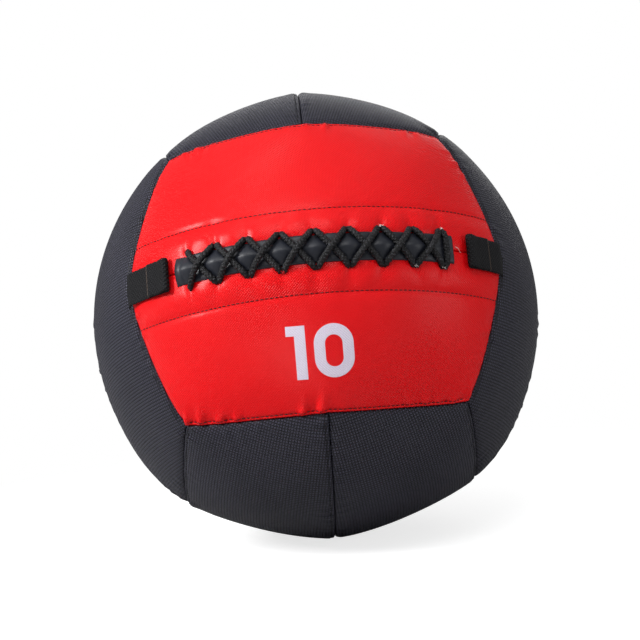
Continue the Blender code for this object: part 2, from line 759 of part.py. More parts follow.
def bag_half(name, side, parent, look):
    obj = object_from(name, half_ball(side, bag_depth(), BAG_SEAM_GAP), parent, look)
    solidify(obj, BAG_THICKNESS)
    return obj


def fill_half(name, side, parent, look, room):
    mesh = half_ball(side, bag_depth() + BAG_THICKNESS + FILL_CLEARANCE, FILL_SPLIT_GAP)
    rim = [edge for edge in mesh.edges if edge.is_boundary]
    bmesh.ops.contextual_create(mesh, geom=rim)
    obj = object_from(name, mesh, parent, look)
    cut(obj, room)
    return obj


def turned(name, profile, look, parent, collection):
    """A profile of (radius, height) points, from top to bottom, turned about the Z axis."""
    data = bpy.data.meshes.new(name)
    verts = [(radius, 0, height) for radius, height in profile]
    data.from_pydata(verts, [(i, i + 1) for i in range(len(verts) - 1)], [])
    if look:
        data.materials.append(look)
    obj = place(bpy.data.objects.new(name, data), parent, collection)
    screw = obj.modifiers.new("turn", "SCREW")
    screw.axis = "Z"
    screw.steps = TURNED_STEPS
    screw.render_steps = TURNED_STEPS
    screw.use_merge_vertices = True
    screw.merge_threshold = MERGE_DISTANCE
    screw.use_smooth_shade = True
    return obj


def ball_profile(radius, top_radius, count=9):
    """Points of a circle about the origin, from where it is top_radius wide down to its lowest point."""
    start = math.asin(top_radius / radius)
    angles = np.linspace(start, math.pi, count)
    points = [(radius * math.sin(angle), radius * math.cos(angle)) for angle in angles[:-1]]
    return points + [(0, -radius)]


def neck_level(radius, neck_radius):
    return math.sqrt(radius**2 - neck_radius**2)


def tie_radius():
    """Radius of the tie's own centre line, round the pouch's neck."""
    return POUCH_NECK_RADIUS + POUCH_TIE_GAP + POUCH_TIE_DIAMETER / 2


def weight_pouch(parent, look):
    """A round cloth pouch with an open neck that flares above its tie."""
    level = neck_level(POUCH_RADIUS, POUCH_NECK_RADIUS)
    profile = [
        (POUCH_NECK_RADIUS + POUCH_FLARE, level + POUCH_NECK_LENGTH),
        (POUCH_NECK_RADIUS, level + NECK_FLARE_LEVEL_SHARE * POUCH_NECK_LENGTH),
    ]
    profile += ball_profile(POUCH_RADIUS, POUCH_NECK_RADIUS)
    obj = turned("weight_pouch", profile, look, parent, PARTS)
    solidify(obj, POUCH_THICKNESS)
    return obj


def pouch_tie(parent, look):
    bpy.ops.mesh.primitive_torus_add(
        major_radius=tie_radius(), minor_radius=POUCH_TIE_DIAMETER / 2,
        major_segments=TURNED_STEPS, minor_segments=TIE_SIDES,
    )
    obj = bpy.context.object
    obj.name = "pouch_tie"
    obj.users_collection[0].objects.unlink(obj)
    obj.data.materials.append(look)
    obj.data.shade_smooth()
    obj.location.z = neck_level(POUCH_RADIUS, POUCH_NECK_RADIUS) + TIE_LEVEL_SHARE * POUCH_NECK_LENGTH
    return place(obj, parent, PARTS)


def iron_sand(parent, look):
    """The load of sand: it fills the pouch up to its neck."""
    radius = POUCH_RADIUS - POUCH_THICKNESS - SAND_CLEARANCE
    neck = POUCH_NECK_RADIUS - POUCH_THICKNESS - SAND_CLEARANCE
    profile = [(0, neck_level(radius, neck))] + ball_profile(radius, neck)
    return turned("iron_sand", profile, look, parent, PARTS)


def pouch_room(parent):
    """Room in the filling for the pouch, its tie and its neck."""
    radius = POUCH_RADIUS + POUCH_ROOM_CLEARANCE
    widest = max(tie_radius() + POUCH_TIE_DIAMETER / 2, POUCH_NECK_RADIUS + POUCH_FLARE)
    neck = widest + POUCH_ROOM_CLEARANCE
    top = neck_level(POUCH_RADIUS, POUCH_NECK_RADIUS) + POUCH_NECK_LENGTH + POUCH_ROOM_CLEARANCE
    profile = [(0, top), (neck, top)] + ball_profile(radius, neck)
    room = turned("pouch_room_cutter", profile, None, parent, CUTTERS)
    room.hide_render = True
    room.display_type = "WIRE"
    return room


def rest_cutter(parent, world):
    """A slab whose top is the floor."""
    mesh = bmesh.new()
    bmesh.ops.create_cube(mesh, size=1)
    depth = REST_FLAT_DEPTH + CUT_OVERRUN
    for vert in mesh.verts:
        vert.co = Vector((vert.co.x * BALL_RADIUS, vert.co.y * BALL_RADIUS, (vert.co.z - 0.5) * depth))
    slab = cutter_from("rest_cutter", mesh, parent)
    slab.matrix_local = world.inverted()
    return slab


for old in list(bpy.data.objects):
    bpy.data.objects.remove(old)

PARTS = bpy.data.collections.new("wall_ball")
CUTTERS = bpy.data.collections.new("cutters")
for made_collection in (PARTS, CUTTERS):
    bpy.context.scene.collection.children.link(made_collection)

RED = material("red coated fabric", (0.65, 0.010, 0.012), 0.32)
CHARCOAL = material("charcoal coated fabric", (0.030, 0.030, 0.036), 0.45)
VINYL = material("black vinyl", (0.018, 0.020, 0.026), 0.38)
CORD = material("black braided cord", (0.012, 0.012, 0.014), 0.85)
WEBBING = material("black webbing", (0.013, 0.013, 0.015), 0.90)
CANVAS = material("grey lining cloth", (0.16, 0.16, 0.17), 0.90)
FIBRE = material("packed fibre", (0.33, 0.31, 0.29), 0.95)
SAND = material("iron sand", (0.06, 0.055, 0.05), 0.70, 0.6)

outline = tilted(outer_points())
lace_front = tilted(lace_route())[:, 1].min() - LACE_DIAMETER / 2
middle_y = (min(outline[:, 1].min(), lace_front) + outline[:, 1].max()) / 2
floor_level = outline[:, 2].min() + REST_FLAT_DEPTH
ball = bpy.data.objects.new("ball_centre", None)
PARTS.objects.link(ball)
ball.location = (0, -middle_y, -floor_level)
ball.rotation_euler = (-TILT, 0, 0)
ball_matrix = Matrix.Translation(ball.location) @ Matrix.Rotation(-TILT, 4, "X")

HOLES = hole_cutters(ball)
MOUTHS = mouth_cutters(ball)
FLOOR = rest_cutter(ball, ball_matrix)

for panel_name, (outward, along, across) in PANELS.items():
    is_front = panel_name.startswith("front")
    mesh = panel_mesh(outward, along, across, is_front)
    panel = object_from(panel_name, mesh, ball, RED if is_front else CHARCOAL)
    solidify(panel, COVER_THICKNESS)
    if is_front:
        cut(panel, HOLES)
    if is_front or panel_name in ("left_front_panel", "right_front_panel"):
        cut(panel, MOUTHS)
    if panel_name.startswith("bottom"):
        cut(panel, FLOOR)

for facing_name, facing_side in (("upper_facing", 1), ("lower_facing", -1)):
    cut(facing(facing_name, facing_side, ball, CANVAS), HOLES)

lacing_strip(ball, VINYL)
lace(ball, CORD)
lace_knot(ball, CORD)
strap("left_strap", -1, LEFT_STRAP_LENGTH, LEFT_STRAP_TURN_BACK, ball, WEBBING)
strap("right_strap", 1, RIGHT_STRAP_LENGTH, RIGHT_STRAP_TURN_BACK, ball, WEBBING)
strap_root("left_strap_root", -1, ball, WEBBING)
strap_root("right_strap_root", 1, ball, WEBBING)

ROOM = pouch_room(ball)
for half_name, half_side in (("front", -1), ("back", 1)):
    bag_half(half_name + "_inner_bag", half_side, ball, CANVAS)
    fill_half(half_name + "_fill", half_side, ball, FIBRE, ROOM)
weight_pouch(ball, CANVAS)
pouch_tie(ball, CORD)
iron_sand(ball, SAND)
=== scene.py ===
import math

import bmesh
import bpy
import numpy as np
from mathutils import Matrix, Vector
from mathutils.bvhtree import BVHTree

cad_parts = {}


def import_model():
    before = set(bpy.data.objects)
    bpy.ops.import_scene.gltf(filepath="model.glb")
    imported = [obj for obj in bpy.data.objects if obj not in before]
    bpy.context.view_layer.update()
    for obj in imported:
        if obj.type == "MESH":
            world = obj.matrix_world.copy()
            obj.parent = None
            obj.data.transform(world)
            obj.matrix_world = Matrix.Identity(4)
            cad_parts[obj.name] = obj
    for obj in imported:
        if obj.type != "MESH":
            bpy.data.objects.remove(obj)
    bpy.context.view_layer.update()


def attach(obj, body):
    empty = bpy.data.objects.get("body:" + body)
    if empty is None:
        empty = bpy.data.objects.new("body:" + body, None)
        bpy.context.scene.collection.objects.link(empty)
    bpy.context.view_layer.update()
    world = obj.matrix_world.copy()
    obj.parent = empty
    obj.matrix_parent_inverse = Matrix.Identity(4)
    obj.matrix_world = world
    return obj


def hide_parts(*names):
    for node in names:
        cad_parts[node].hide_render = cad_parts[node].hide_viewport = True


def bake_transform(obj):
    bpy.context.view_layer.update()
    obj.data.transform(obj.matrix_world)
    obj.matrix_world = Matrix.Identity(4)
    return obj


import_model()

# Cover. Twelve panels of PVC-coated polyester, two to each of the ball's six sides, lockstitched together
# from behind with their edges turned in. Packed tight, it stands out along its seams and sags a little at
# the bottom. Each panel is a grid laid over its part of the ball.
BALL_RADIUS = 0.1752
BALL_TILT = math.radians(20)
BALL_CENTRE = np.array([0.0, 0.000987043, 0.177234292])
PANEL_END = math.radians(51.45)
SLOT_HALF = BALL_RADIUS * PANEL_END
SEAM_BOW = 0.016
SAG, SAG_LEVEL, SAG_SPREAD = 0.024, math.radians(-42), math.radians(16)
CORNER, CORNER_SPREAD = 0.026, math.radians(11.6)
CREST, CREST_SPREAD = 0.018, math.radians(20)
SEAM_DIP, SEAM_DIP_SPREAD = 0.0012, 0.006
SLOT_DIP, SLOT_DIP_SPREAD = 0.0012, 0.008
FOLD_RADIUS, LIP_OFFSET, FABRIC_THICKNESS = 0.0011, 0.00016, 0.0009
BAND_PLACE, BAND_SPREAD, BAND_HEIGHT = 0.0016, 0.0010, 0.00035
TOPSTITCH_INSET, TOPSTITCH_SPREAD, TOPSTITCH_DIP = 0.0029, 0.0006, 0.00045
ROLL_LINE, ROLL_SPREAD, ROLL_HEIGHT = 0.0205, 0.0075, 0.0012
HEM_LINE, HEM_SPREAD, HEM_DIP = 0.0314, 0.0022, 0.0009
FINE_CELL, COARSE_CELL = 0.0016, 0.0022
X, Y, Z = np.eye(3)
UP = np.array([0.0, -math.sin(BALL_TILT), math.cos(BALL_TILT)])
TURN = np.array(Matrix.Rotation(-BALL_TILT, 3, "X"))

# Each side's name, its outward direction, its middle seam's, and its two panels with where they lie from it
SIDES = (
    ("front", -Y, X, (("upper", Z), ("lower", -Z))), ("back", Y, X, (("upper", Z), ("lower", -Z))),
    ("top", Z, Y, (("left", -X), ("right", X))), ("bottom", -Z, Y, (("left", -X), ("right", X))),
    ("left", -X, Z, (("front", -Y), ("back", Y))), ("right", X, Z, (("front", -Y), ("back", Y))),
)
PANELS = [(f"{side}_{part}", outward, along, across) for side, outward, along, two in SIDES for part, across in two]
TOPSTITCHED_MIDDLES = ("back_upper", "top_left", "bottom_left", "left_front", "right_front")


def unit(vectors):
    return vectors / np.linalg.norm(vectors, axis=-1, keepdims=True)


def bell(away, spread):
    """A smooth rise of 1 that fades with distance."""
    return np.exp(-((away / spread) ** 2))


def falling(away, height, spread):
    return height * np.clip(1 - away / spread, 0, 1) ** 2


def seam(face, long_face, corner, shares):
    """Directions along a seam, from the end of one side's middle seam to a corner of the ball."""
    start = math.cos(PANEL_END) * face + math.sin(PANEL_END) * long_face
    corner = unit(corner)
    angle, shares = math.acos(start @ corner), np.asarray(shares)[:, None]
    arc = (np.sin((1 - shares) * angle) * start + np.sin(shares * angle) * corner) / math.sin(angle)
    return unit(arc + SEAM_BOW * np.sin(math.pi * shares) * (long_face - (arc @ long_face)[:, None] * arc))


def panel_edges(outward, along, across, places, shares):
    """A panel's four edges as directions: its middle seam, its long edge, its start and its end."""
    angles = np.asarray(places)[:, None] * PANEL_END
    middle = np.cos(angles) * outward + np.sin(angles) * along
    far = np.empty_like(middle)
    for side in (-1, 1):
        half = places * side >= 0
        far[half] = seam(across, outward, outward + across + side * along, np.abs(places[half]))
    ends = [seam(outward, side * along, outward + across + side * along, shares) for side in (-1, 1)]
    return [middle, far, *ends]


def edge_lines(outward, along, across, steps=24):
    return panel_edges(outward, along, across, np.linspace(-1, 1, 2 * steps + 1), np.linspace(0, 1, steps + 1))


def distance(directions, path):
    """Distance over the ball from directions to a path of directions."""
    runs, found = np.diff(path, axis=0), np.empty(len(directions))
    for part in range(0, len(directions), 4000):
        offsets = directions[part : part + 4000, None] - path[:-1]
        share = np.clip((offsets * runs).sum(-1) / (runs * runs).sum(-1), 0, 1)
        found[part : part + 4000] = np.linalg.norm(offsets - share[..., None] * runs, axis=-1).min(axis=1)
    return BALL_RADIUS * found


def ball_radius(directions):
    """The stuffed ball's radius before its seams draw it in."""
    level = np.arcsin(np.clip(directions @ UP, -1, 1))
    corner_angle = np.arccos(np.clip(np.abs(directions).sum(-1) / math.sqrt(3), -1, 1))
    nearest = np.full(len(directions), np.inf)
    for _, outward, along, _ in SIDES:
        angle = np.clip(np.arctan2(directions @ along, directions @ outward), -PANEL_END, PANEL_END)
        spot = np.cos(angle)[:, None] * outward + np.sin(angle)[:, None] * along
        nearest = np.minimum(nearest, np.arccos(np.clip((directions * spot).sum(-1), -1, 1)))
    sag, corner = SAG * bell(level - SAG_LEVEL, SAG_SPREAD), CORNER * bell(corner_angle, CORNER_SPREAD)
    return BALL_RADIUS * (1 + sag + corner + falling(nearest, CREST, CREST_SPREAD))


def world(points):
    """Points of the ball, about its own centre and with its laced side upright, as it stands on the floor."""
    return points @ TURN.T + BALL_CENTRE


def in_world(mesh):
    for vert in mesh.verts:
        vert.co = world(np.array(vert.co))
    return mesh


def grid_mesh(x_cells, y_cells, place):
    """A grid of cells whose points are put in place by their shares, from 0 to 1, in both directions."""
    mesh = bmesh.new()
    mesh.loops.layers.uv.verify()
    bmesh.ops.create_grid(mesh, x_segments=x_cells, y_segments=y_cells, size=1, calc_uvs=True)
    shares = np.array([vert.co[:2] for vert in mesh.verts]) / 2 + 0.5
    for vert, point in zip(mesh.verts, place(shares[:, 0], shares[:, 1])):
        vert.co = point
    return mesh


def mesh_data(name, mesh):
    """A bmesh's shapes as mesh data. The bmesh is freed."""
    data = bpy.data.meshes.new(name)
    mesh.to_mesh(data)
    mesh.free()
    return data


def placed(name, data):
    made = bpy.data.objects.new(name, data)
    bpy.context.scene.collection.objects.link(made)
    return made


def join(mesh, part):
    """Adds one bmesh's shapes to another."""
    data = mesh_data("part", part)
    mesh.from_mesh(data)
    bpy.data.meshes.remove(data)


def piece_from(name, mesh, look, body, slot, nodes=(), lay=None):
    """A finished piece from a bmesh, with its material, its body and the CAD nodes that it stands for."""
    data = mesh_data(name, mesh)
    data.materials.append(look)
    data.shade_smooth()
    piece = placed(name, data)
    if lay is not None:
        layer = data.uv_layers.active.data
        uv, co = np.empty(2 * len(data.loops), np.float32), np.empty(3 * len(data.vertices), np.float32)
        vertex = np.empty(len(data.loops), np.int32)
        layer.foreach_get("uv", uv)
        data.loops.foreach_get("vertex_index", vertex)
        data.vertices.foreach_get("co", co)
        layer.foreach_set("uv", lay(uv.reshape(-1, 2), co.reshape(-1, 3)[vertex]).astype(np.float32).ravel())
    if body:
        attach(piece, body)
    if nodes:
        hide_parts(*nodes)
    return piece


def thicken(piece, thickness):
    """Gives a sheet its thickness, inwards."""
    wall = piece.modifiers.new("thickness", "SOLIDIFY")
    wall.thickness, wall.offset = thickness, -1.0


def linear(colour):
    """A colour written as sRGB hex, made linear."""
    channels = [int(colour[i : i + 2], 16) / 255 for i in (1, 3, 5)]
    return (*[c / 12.92 if c <= 0.04045 else ((c + 0.055) / 1.055) ** 2.4 for c in channels], 1.0)


def add(tree, kind, sockets=None, output=None, **settings):
    """Adds a node with its settings and its sockets' values or links, and gives an output, or its first."""
    made = tree.nodes.new("ShaderNode" + kind)
    for key, value in settings.items():
        setattr(made, key, value)
    for key, value in (sockets or {}).items():
        if isinstance(value, bpy.types.NodeSocket):
            tree.links.new(value, made.inputs[key])
        else:
            made.inputs[key].default_value = value
    return made.outputs[output] if output else next((one for one in made.outputs if one.enabled), None)


def new_material(name):
    look = bpy.data.materials.new(name)
    look.use_nodes = True
    look.node_tree.nodes.clear()
    return look, look.node_tree


def surface(tree, base, layers, sockets, height, strength, depth):
    """Ends a material with its shader: a colour, those laid over it by a factor, and a bump in metres."""
    colour = linear(base)
    for factor, over in layers:
        colour = add(tree, "Mix", {"Factor": factor, "A": colour, "B": linear(over)}, data_type="RGBA")
    normal = add(tree, "Bump", {"Strength": strength, "Distance": depth, "Height": height})
    shader = add(tree, "BsdfPrincipled", {"Base Color": colour, **sockets, "Normal": normal})
    add(tree, "OutputMaterial", {"Surface": shader})


def ripples(tree, coordinates, period, turns, operation):
    """Two sets of even waves, a period apart in metres, that cross at their angles in degrees."""
    sets = {}
    for number, turn in enumerate(turns):
        turned = add(tree, "Mapping", {"Vector": coordinates, "Rotation": (0, 0, math.radians(turn))})
        wave = {"Vector": turned, "Scale": math.pi / 10 / period}
        sets[number] = add(tree, "TexWave", wave, "Fac", wave_type="BANDS", bands_direction="X", wave_profile="SIN")
    return add(tree, "Math", sets, operation=operation)


def panel_frame(outward, along, across):
    """A panel's middle, and the two directions square to it that its cloth's pattern runs in."""
    middle = math.radians(19)
    centre = unit(math.cos(middle) * outward + math.sin(middle) * across)
    lengthwise = unit(along - (along @ centre) * centre)
    return centre, lengthwise, np.cross(centre, lengthwise)


def pattern_place(directions, outward, along, across):
    """Where directions lie on the panel's flat cloth, in metres from its middle."""
    centre, lengthwise, sideways = panel_frame(outward, along, across)
    angle = np.arccos(np.clip(directions @ centre, -1, 1))
    flat = np.stack([directions @ lengthwise, directions @ sideways], axis=-1)
    return BALL_RADIUS * angle[:, None] * flat / np.maximum(np.linalg.norm(flat, axis=-1, keepdims=True), 1e-9)


def flat_place(co, *sides):
    return pattern_place(unit((co.astype(float) - BALL_CENTRE) @ TURN), *sides)


# PVC-coated polyester, red: a knife-coated vinyl film over a two-way scrim laid at 45 degrees, whose
# threads, 1.4 mm apart, print through the gloss. The number is screen printed on it in pale ink.
SCRIM_PITCH = 0.0014
DIGIT_HEIGHT, DIGIT_STROKE, INK_EDGE = 0.0385, 0.0079, 0.00012
ONE_MIDDLE, FLAG = -0.0135, 0.0088
NOUGHT_MIDDLE, NOUGHT_RADIUS = 0.0102, 0.0141
NUMBER_RISE = -0.0728 / BALL_RADIUS
NUMBER_PLACE = pattern_place(np.array([[-0.014, -math.cos(NUMBER_RISE), math.sin(NUMBER_RISE)]]), -Y, X, -Z)[0]


def number_ten(tree, uv):
    """Where the number's ink is: a one as two bars, and a nought as the rim of an upright slot."""
    x, y = [
        add(tree, "Math", {0: add(tree, "SeparateXYZ", {"Vector": uv}, axis), 1: place}, operation="SUBTRACT")
        for axis, place in zip("XY", NUMBER_PLACE)
    ]
    half, flag_half = DIGIT_HEIGHT / 2, DIGIT_STROKE * 0.45
    parts = []
    for centre, reach in (
        ((ONE_MIDDLE, 0), (DIGIT_STROKE / 2, half)),
        ((ONE_MIDDLE - FLAG / 2 - 0.001, half - flag_half), (FLAG / 2, flag_half)),
    ):
        sides = []
        for value, middle, most in zip((x, y), centre, reach):
            for operation in ("SUBTRACT", "ABSOLUTE"):
                value = add(tree, "Math", {0: value, 1: middle}, operation=operation)
            edge = {"Value": value, "From Min": most + INK_EDGE, "From Max": most - INK_EDGE}
            sides.append(add(tree, "MapRange", edge))
        parts.append(add(tree, "Math", dict(enumerate(sides)), operation="MULTIPLY"))
    # The nought's distance from its upright middle line, whose ends round its top and bottom
    side, over = add(tree, "Math", {0: x, 1: NOUGHT_MIDDLE}, operation="SUBTRACT"), y
    for operation, second in (("ABSOLUTE", 0.0), ("SUBTRACT", half - NOUGHT_RADIUS), ("MAXIMUM", 0.0)):
        over = add(tree, "Math", {0: over, 1: second}, operation=operation)
    rim = add(tree, "VectorMath", {0: add(tree, "CombineXYZ", {"X": side, "Y": over})}, operation="LENGTH")
    for operation in ("SUBTRACT", "ABSOLUTE"):
        rim = add(tree, "Math", {0: rim, 1: NOUGHT_RADIUS - DIGIT_STROKE / 2}, operation=operation)
    most = DIGIT_STROKE / 2
    ink = add(tree, "MapRange", {"Value": rim, "From Min": most + INK_EDGE, "From Max": most - INK_EDGE})
    for part in parts:
        ink = add(tree, "Math", {0: ink, 1: part}, operation="MAXIMUM")
    return ink


def coated_fabric(name, printed):
    look, tree = new_material(name)
    uv, space = add(tree, "UVMap"), add(tree, "TexCoord", output="Object")
    scrim = ripples(tree, uv, SCRIM_PITCH, (45, -45), "MAXIMUM")
    patches = add(tree, "TexNoise", {"Vector": space, "Scale": 22.0, "Detail": 3.0})
    wear = add(tree, "TexNoise", {"Vector": space, "Scale": 260.0, "Detail": 5.0})
    layers = [(add(tree, "Mix", {"Factor": 0.4, "A": patches, "B": scrim}), "#EB040D")]
    if printed:
        ink = number_ten(tree, uv)
        layers.append((ink, "#DCD2E4"))
        scrim = add(tree, "Math", {0: ink, 1: 0.6, 2: scrim}, operation="MULTIPLY_ADD")
    surface(tree, "#D6010A", layers, {
        "Roughness": add(tree, "MapRange", {"Value": wear, "To Min": 0.30, "To Max": 0.41}), "IOR": 1.5,
        "Specular IOR Level": 0.14, "Coat Weight": 0.15, "Coat Roughness": 0.25, "Coat IOR": 1.5,
    }, scrim, 0.8, 0.0005)
    return look


# PVC-coated polyester, charcoal: the same cloth with a calendered film, embossed with a square grid of
# small pads. It is a soft satin. The pads are painted paler and bluish, a painted highlight for light
# grazing them. They are drawn 2.3 mm apart, coarser than the real ones, so that they show.
EMBOSS_PITCH = 0.0023


def embossed_fabric(name):
    look, tree = new_material(name)
    uv, space = add(tree, "UVMap"), add(tree, "TexCoord", output="Object")
    pads = ripples(tree, uv, EMBOSS_PITCH, (0, 90), "MINIMUM")
    pads = add(tree, "MapRange", {"Value": pads, "From Min": 0.05, "From Max": 0.65})
    patches = add(tree, "TexNoise", {"Vector": space, "Scale": 18.0, "Detail": 3.0})
    wear = add(tree, "TexNoise", {"Vector": space, "Scale": 300.0, "Detail": 5.0})
    # Painted highlight: the pads are painted paler and bluish, as light grazing them would show; the noise patches
    # vary the colour at random
    pad_highlight = add(tree, "Math", {0: pads, 1: 0.8}, operation="MULTIPLY")
    patches_and_pad_highlight = add(tree, "Math", {0: patches, 1: 0.3, 2: pad_highlight}, operation="MULTIPLY_ADD")
    rough = add(tree, "MapRange", {"Value": wear, "To Min": 0.44, "To Max": 0.58})
    gloss = {"Roughness": rough, "IOR": 1.5, "Specular IOR Level": 0.24}
    surface(tree, "#0E0E10", [(patches_and_pad_highlight, "#434251")], gloss, pads, 1.0, 0.0009)
    return look


RED = coated_fabric("red PVC-coated polyester over scrim", False)
RED_PRINTED = coated_fabric("red PVC-coated polyester with a printed number", True)
CHARCOAL = embossed_fabric("charcoal PVC-coated polyester, embossed")


def stations(half, cell):
    """Places from an edge to the middle, in metres: close together round the fold, then even."""
    fold = [FOLD_RADIUS * (1 - math.cos(math.radians(a))) for a in (0, 25, 45, 65, 90)]
    near = [LIP_OFFSET + place for place in fold] + [0.0019, 0.0024, 0.0029, 0.0034, 0.0041, 0.005, 0.0062]
    return np.array(near + list(np.linspace(near[-1], half, max(2, round((half - near[-1]) / cell)) + 1)[1:]))


def front_relief(directions, rise):
    """How far the red panels stand out over their fill: a roll beside the strip, and a dip at the hem."""
    along = BALL_RADIUS * np.arctan2(directions[:, 0], -directions[:, 1])
    fade = np.clip((SLOT_HALF - np.abs(along)) / 0.03, 0, 1)
    return fade * (ROLL_HEIGHT * bell(rise - ROLL_LINE, ROLL_SPREAD) - HEM_DIP * bell(rise - HEM_LINE, HEM_SPREAD))


def panel_surface(directions, edges, is_front, middle_stitched):
    """The outer radius of a panel at directions, from its distances to its own four edges."""
    slot_away, far_away, *ends = [distance(directions, edge) for edge in edges]
    ends_away = np.minimum(*ends)
    away = np.minimum(np.minimum(slot_away, far_away), ends_away)
    dip = falling(np.minimum(far_away, ends_away) if is_front else away, SEAM_DIP, SEAM_DIP_SPREAD)
    radius = ball_radius(directions)
    if is_front:
        dip = np.maximum(dip, falling(slot_away, SLOT_DIP, SLOT_DIP_SPREAD))
        radius = radius + front_relief(directions, slot_away)
    into = np.clip(FOLD_RADIUS - (away - LIP_OFFSET), 0, FOLD_RADIUS)
    fold = FOLD_RADIUS - np.sqrt(FOLD_RADIUS**2 - into**2)
    band = np.zeros(len(directions))
    for edge_away in (slot_away, far_away) if middle_stitched else (far_away,):
        band += BAND_HEIGHT * bell(edge_away - BAND_PLACE, BAND_SPREAD)
        band -= TOPSTITCH_DIP * bell(edge_away - TOPSTITCH_INSET, TOPSTITCH_SPREAD)
    return radius - dip - fold + band


def panel_grid(outward, along, across, cell):
    """A panel's grid as directions over the ball, with the shares along and across it of its rows."""
    width = BALL_RADIUS * (math.pi / 2 - PANEL_END)
    lengths, widths = stations(SLOT_HALF, cell), stations(width / 2, cell)
    places = np.concatenate([lengths / SLOT_HALF - 1, 1 - lengths[:-1][::-1] / SLOT_HALF])
    shares = np.concatenate([widths, width - widths[:-1][::-1]]) / width
    middle, far, start, end = panel_edges(outward, along, across, places, shares)
    tips = panel_edges(outward, along, across, np.array([-1.0, 1.0]), shares)
    down, over = ((places + 1) / 2)[:, None, None], shares[None, :, None]
    corners = [(1 - over) * tips[0][k] + over * tips[1][k] for k in (0, 1)]
    patch = (1 - over) * middle[:, None] + over * far[:, None] + (1 - down) * start + down * end
    return places, shares, unit(patch - (1 - down) * corners[0] - down * corners[1])


def grid_of_points(points):
    """An open bmesh grid through rows of points, facing away from the ball's centre."""
    rows, columns = points.shape[:2]

    def at_point(u, v):
        return points[np.rint(u * (rows - 1)).astype(int), np.rint(v * (columns - 1)).astype(int)]

    mesh = grid_mesh(rows - 1, columns - 1, at_point)
    mesh.faces.ensure_lookup_table()
    face = mesh.faces[len(mesh.faces) // 2]
    face.normal_update()
    if face.normal.dot(face.calc_center_median()) < 0:
        bmesh.ops.reverse_faces(mesh, faces=mesh.faces)
    return mesh


# The cloth is cut a little larger than its fill and gathered by its stitches, which leaves rows of short
# puckers square to the seams and creases at the lace's holes. The simulation starts from them.
UPPER_PUCKERS, LOWER_PUCKERS = (0.0017, 0.0010, 0.0010), (0.0034, 0.0010, 0.0010)
CHARCOAL_PUCKERS = (0.0013, 0.0013, 0.0010, 0.0010)
HOLE_CREASE, HOLE_SWELL = 0.0014, 0.0008
LACE_COLUMNS, LACE_PITCH, LACE_ROW = 9, 0.0238313, 0.0131


def waves(places, shortest, longest, seed):
    """An uneven wave along a line, from about -1 to 1, with wavelengths in metres."""
    source, found = np.random.default_rng(seed), np.zeros_like(places)
    for _ in range(9):
        found += np.sin(2 * math.pi * places / source.uniform(shortest, longest) + source.uniform(0, 2 * math.pi))
    return found / 3.2


def lumps(directions, scale, seed):
    """A smooth lumpy pattern over the ball, from about -1 to 1."""
    source, found = np.random.default_rng(seed), np.zeros(len(directions))
    for _ in range(14):
        wave = source.normal(size=3) * scale
        found += np.sin(directions @ wave + source.uniform(0, 2 * math.pi))
    return found / 5


def gathers(directions, edges, heights, seed):
    """The puckers beside a panel's seams: ridges square to the seam that fade into the panel."""
    found = np.zeros(len(directions))
    for number, (edge, height) in enumerate(zip(edges, heights)):
        lengthwise = unit(edge[-1] - edge[0])
        away = distance(directions, edge)
        place = BALL_RADIUS * np.arctan2(directions @ lengthwise, directions @ unit(edge[len(edge) // 2]))
        slant = 0.35 * waves(place, 0.05, 0.12, seed + 50 + number)
        ridge = np.clip(waves(place + slant * away, 0.0075, 0.016, seed + number), -0.4, 1.1)
        patch = np.clip(0.45 + 0.8 * waves(place, 0.05, 0.13, seed + 20 + number), 0.08, 1.1)
        reach = 0.009 + 0.005 * waves(place, 0.03, 0.07, seed + 30 + number)
        found += height * patch * ridge * np.clip(away / 0.0035, 0, 1) * bell(away, np.maximum(reach, 0.004))
    return found


def column_place(column):
    """A pair of lace holes' place along the slot, from its middle."""
    return (column - (LACE_COLUMNS - 1) / 2) * LACE_PITCH


def hole_creases(directions):
    """The creases that spread from the lace's holes, where it pulls the cloth in, and the swells between."""
    along = BALL_RADIUS * np.arctan2(directions[:, 0], -directions[:, 1])
    rise = BALL_RADIUS * np.arcsin(np.clip(directions[:, 2], -1, 1))
    source = np.random.default_rng(4)
    found = np.zeros(len(directions))
    for side in (-1, 1):
        over = side * rise - LACE_ROW
        for column in range(LACE_COLUMNS):
            lean, depth, reach = source.uniform(-0.35, 0.35), source.uniform(0.5, 1.1), source.uniform(0.010, 0.021)
            beside = along - column_place(column) - lean * np.maximum(over, 0)
            fade = bell(over, np.where(over > 0, reach, 0.004))
            found -= HOLE_CREASE * depth * fade * bell(beside, 0.0026 + 0.17 * np.maximum(over, 0))
        fade = bell(over, np.where(over > 0, 0.012, 0.0018))
        for column in range(LACE_COLUMNS - 1):
            beside = along - column_place(column) - LACE_PITCH * source.uniform(0.4, 0.6)
            found += HOLE_SWELL * source.uniform(0.3, 1.2) * fade * bell(beside, 0.0062)
    return found


def drawn_cloth(directions, edges, name, seed):
    """How far the stitches and the lace draw a panel's cloth out or in."""
    if name.startswith("front"):
        heights = UPPER_PUCKERS if name == "front_upper" else LOWER_PUCKERS
        return gathers(directions, edges[1:], heights, seed) + hole_creases(directions)
    return gathers(directions, edges, CHARCOAL_PUCKERS, seed)


# A cloth simulation of all the panels together, held along their seams and pushed out from inside, rounds
# the puckers and lets the slacker places stand out. It works at twenty times the ball's own size, and
# leaves out the close rows round the folds.
CLOTH_CELL, CLOTH_FRAMES, CLOTH_CAP, CLOTH_SCALE = 0.0032, 20, 0.0009, 20
SLACK, SEWN_WIDTH, CLOSE_ROWS = 0.02, 0.0012, 7
CLOTH_SETTINGS = {
    "quality": 5, "mass": 0.02, "tension_stiffness": 40, "compression_stiffness": 40, "shear_stiffness": 20,
    "bending_stiffness": 0.05, "vertex_group_mass": "held", "use_pressure": True, "uniform_pressure_force": 3.0,
}


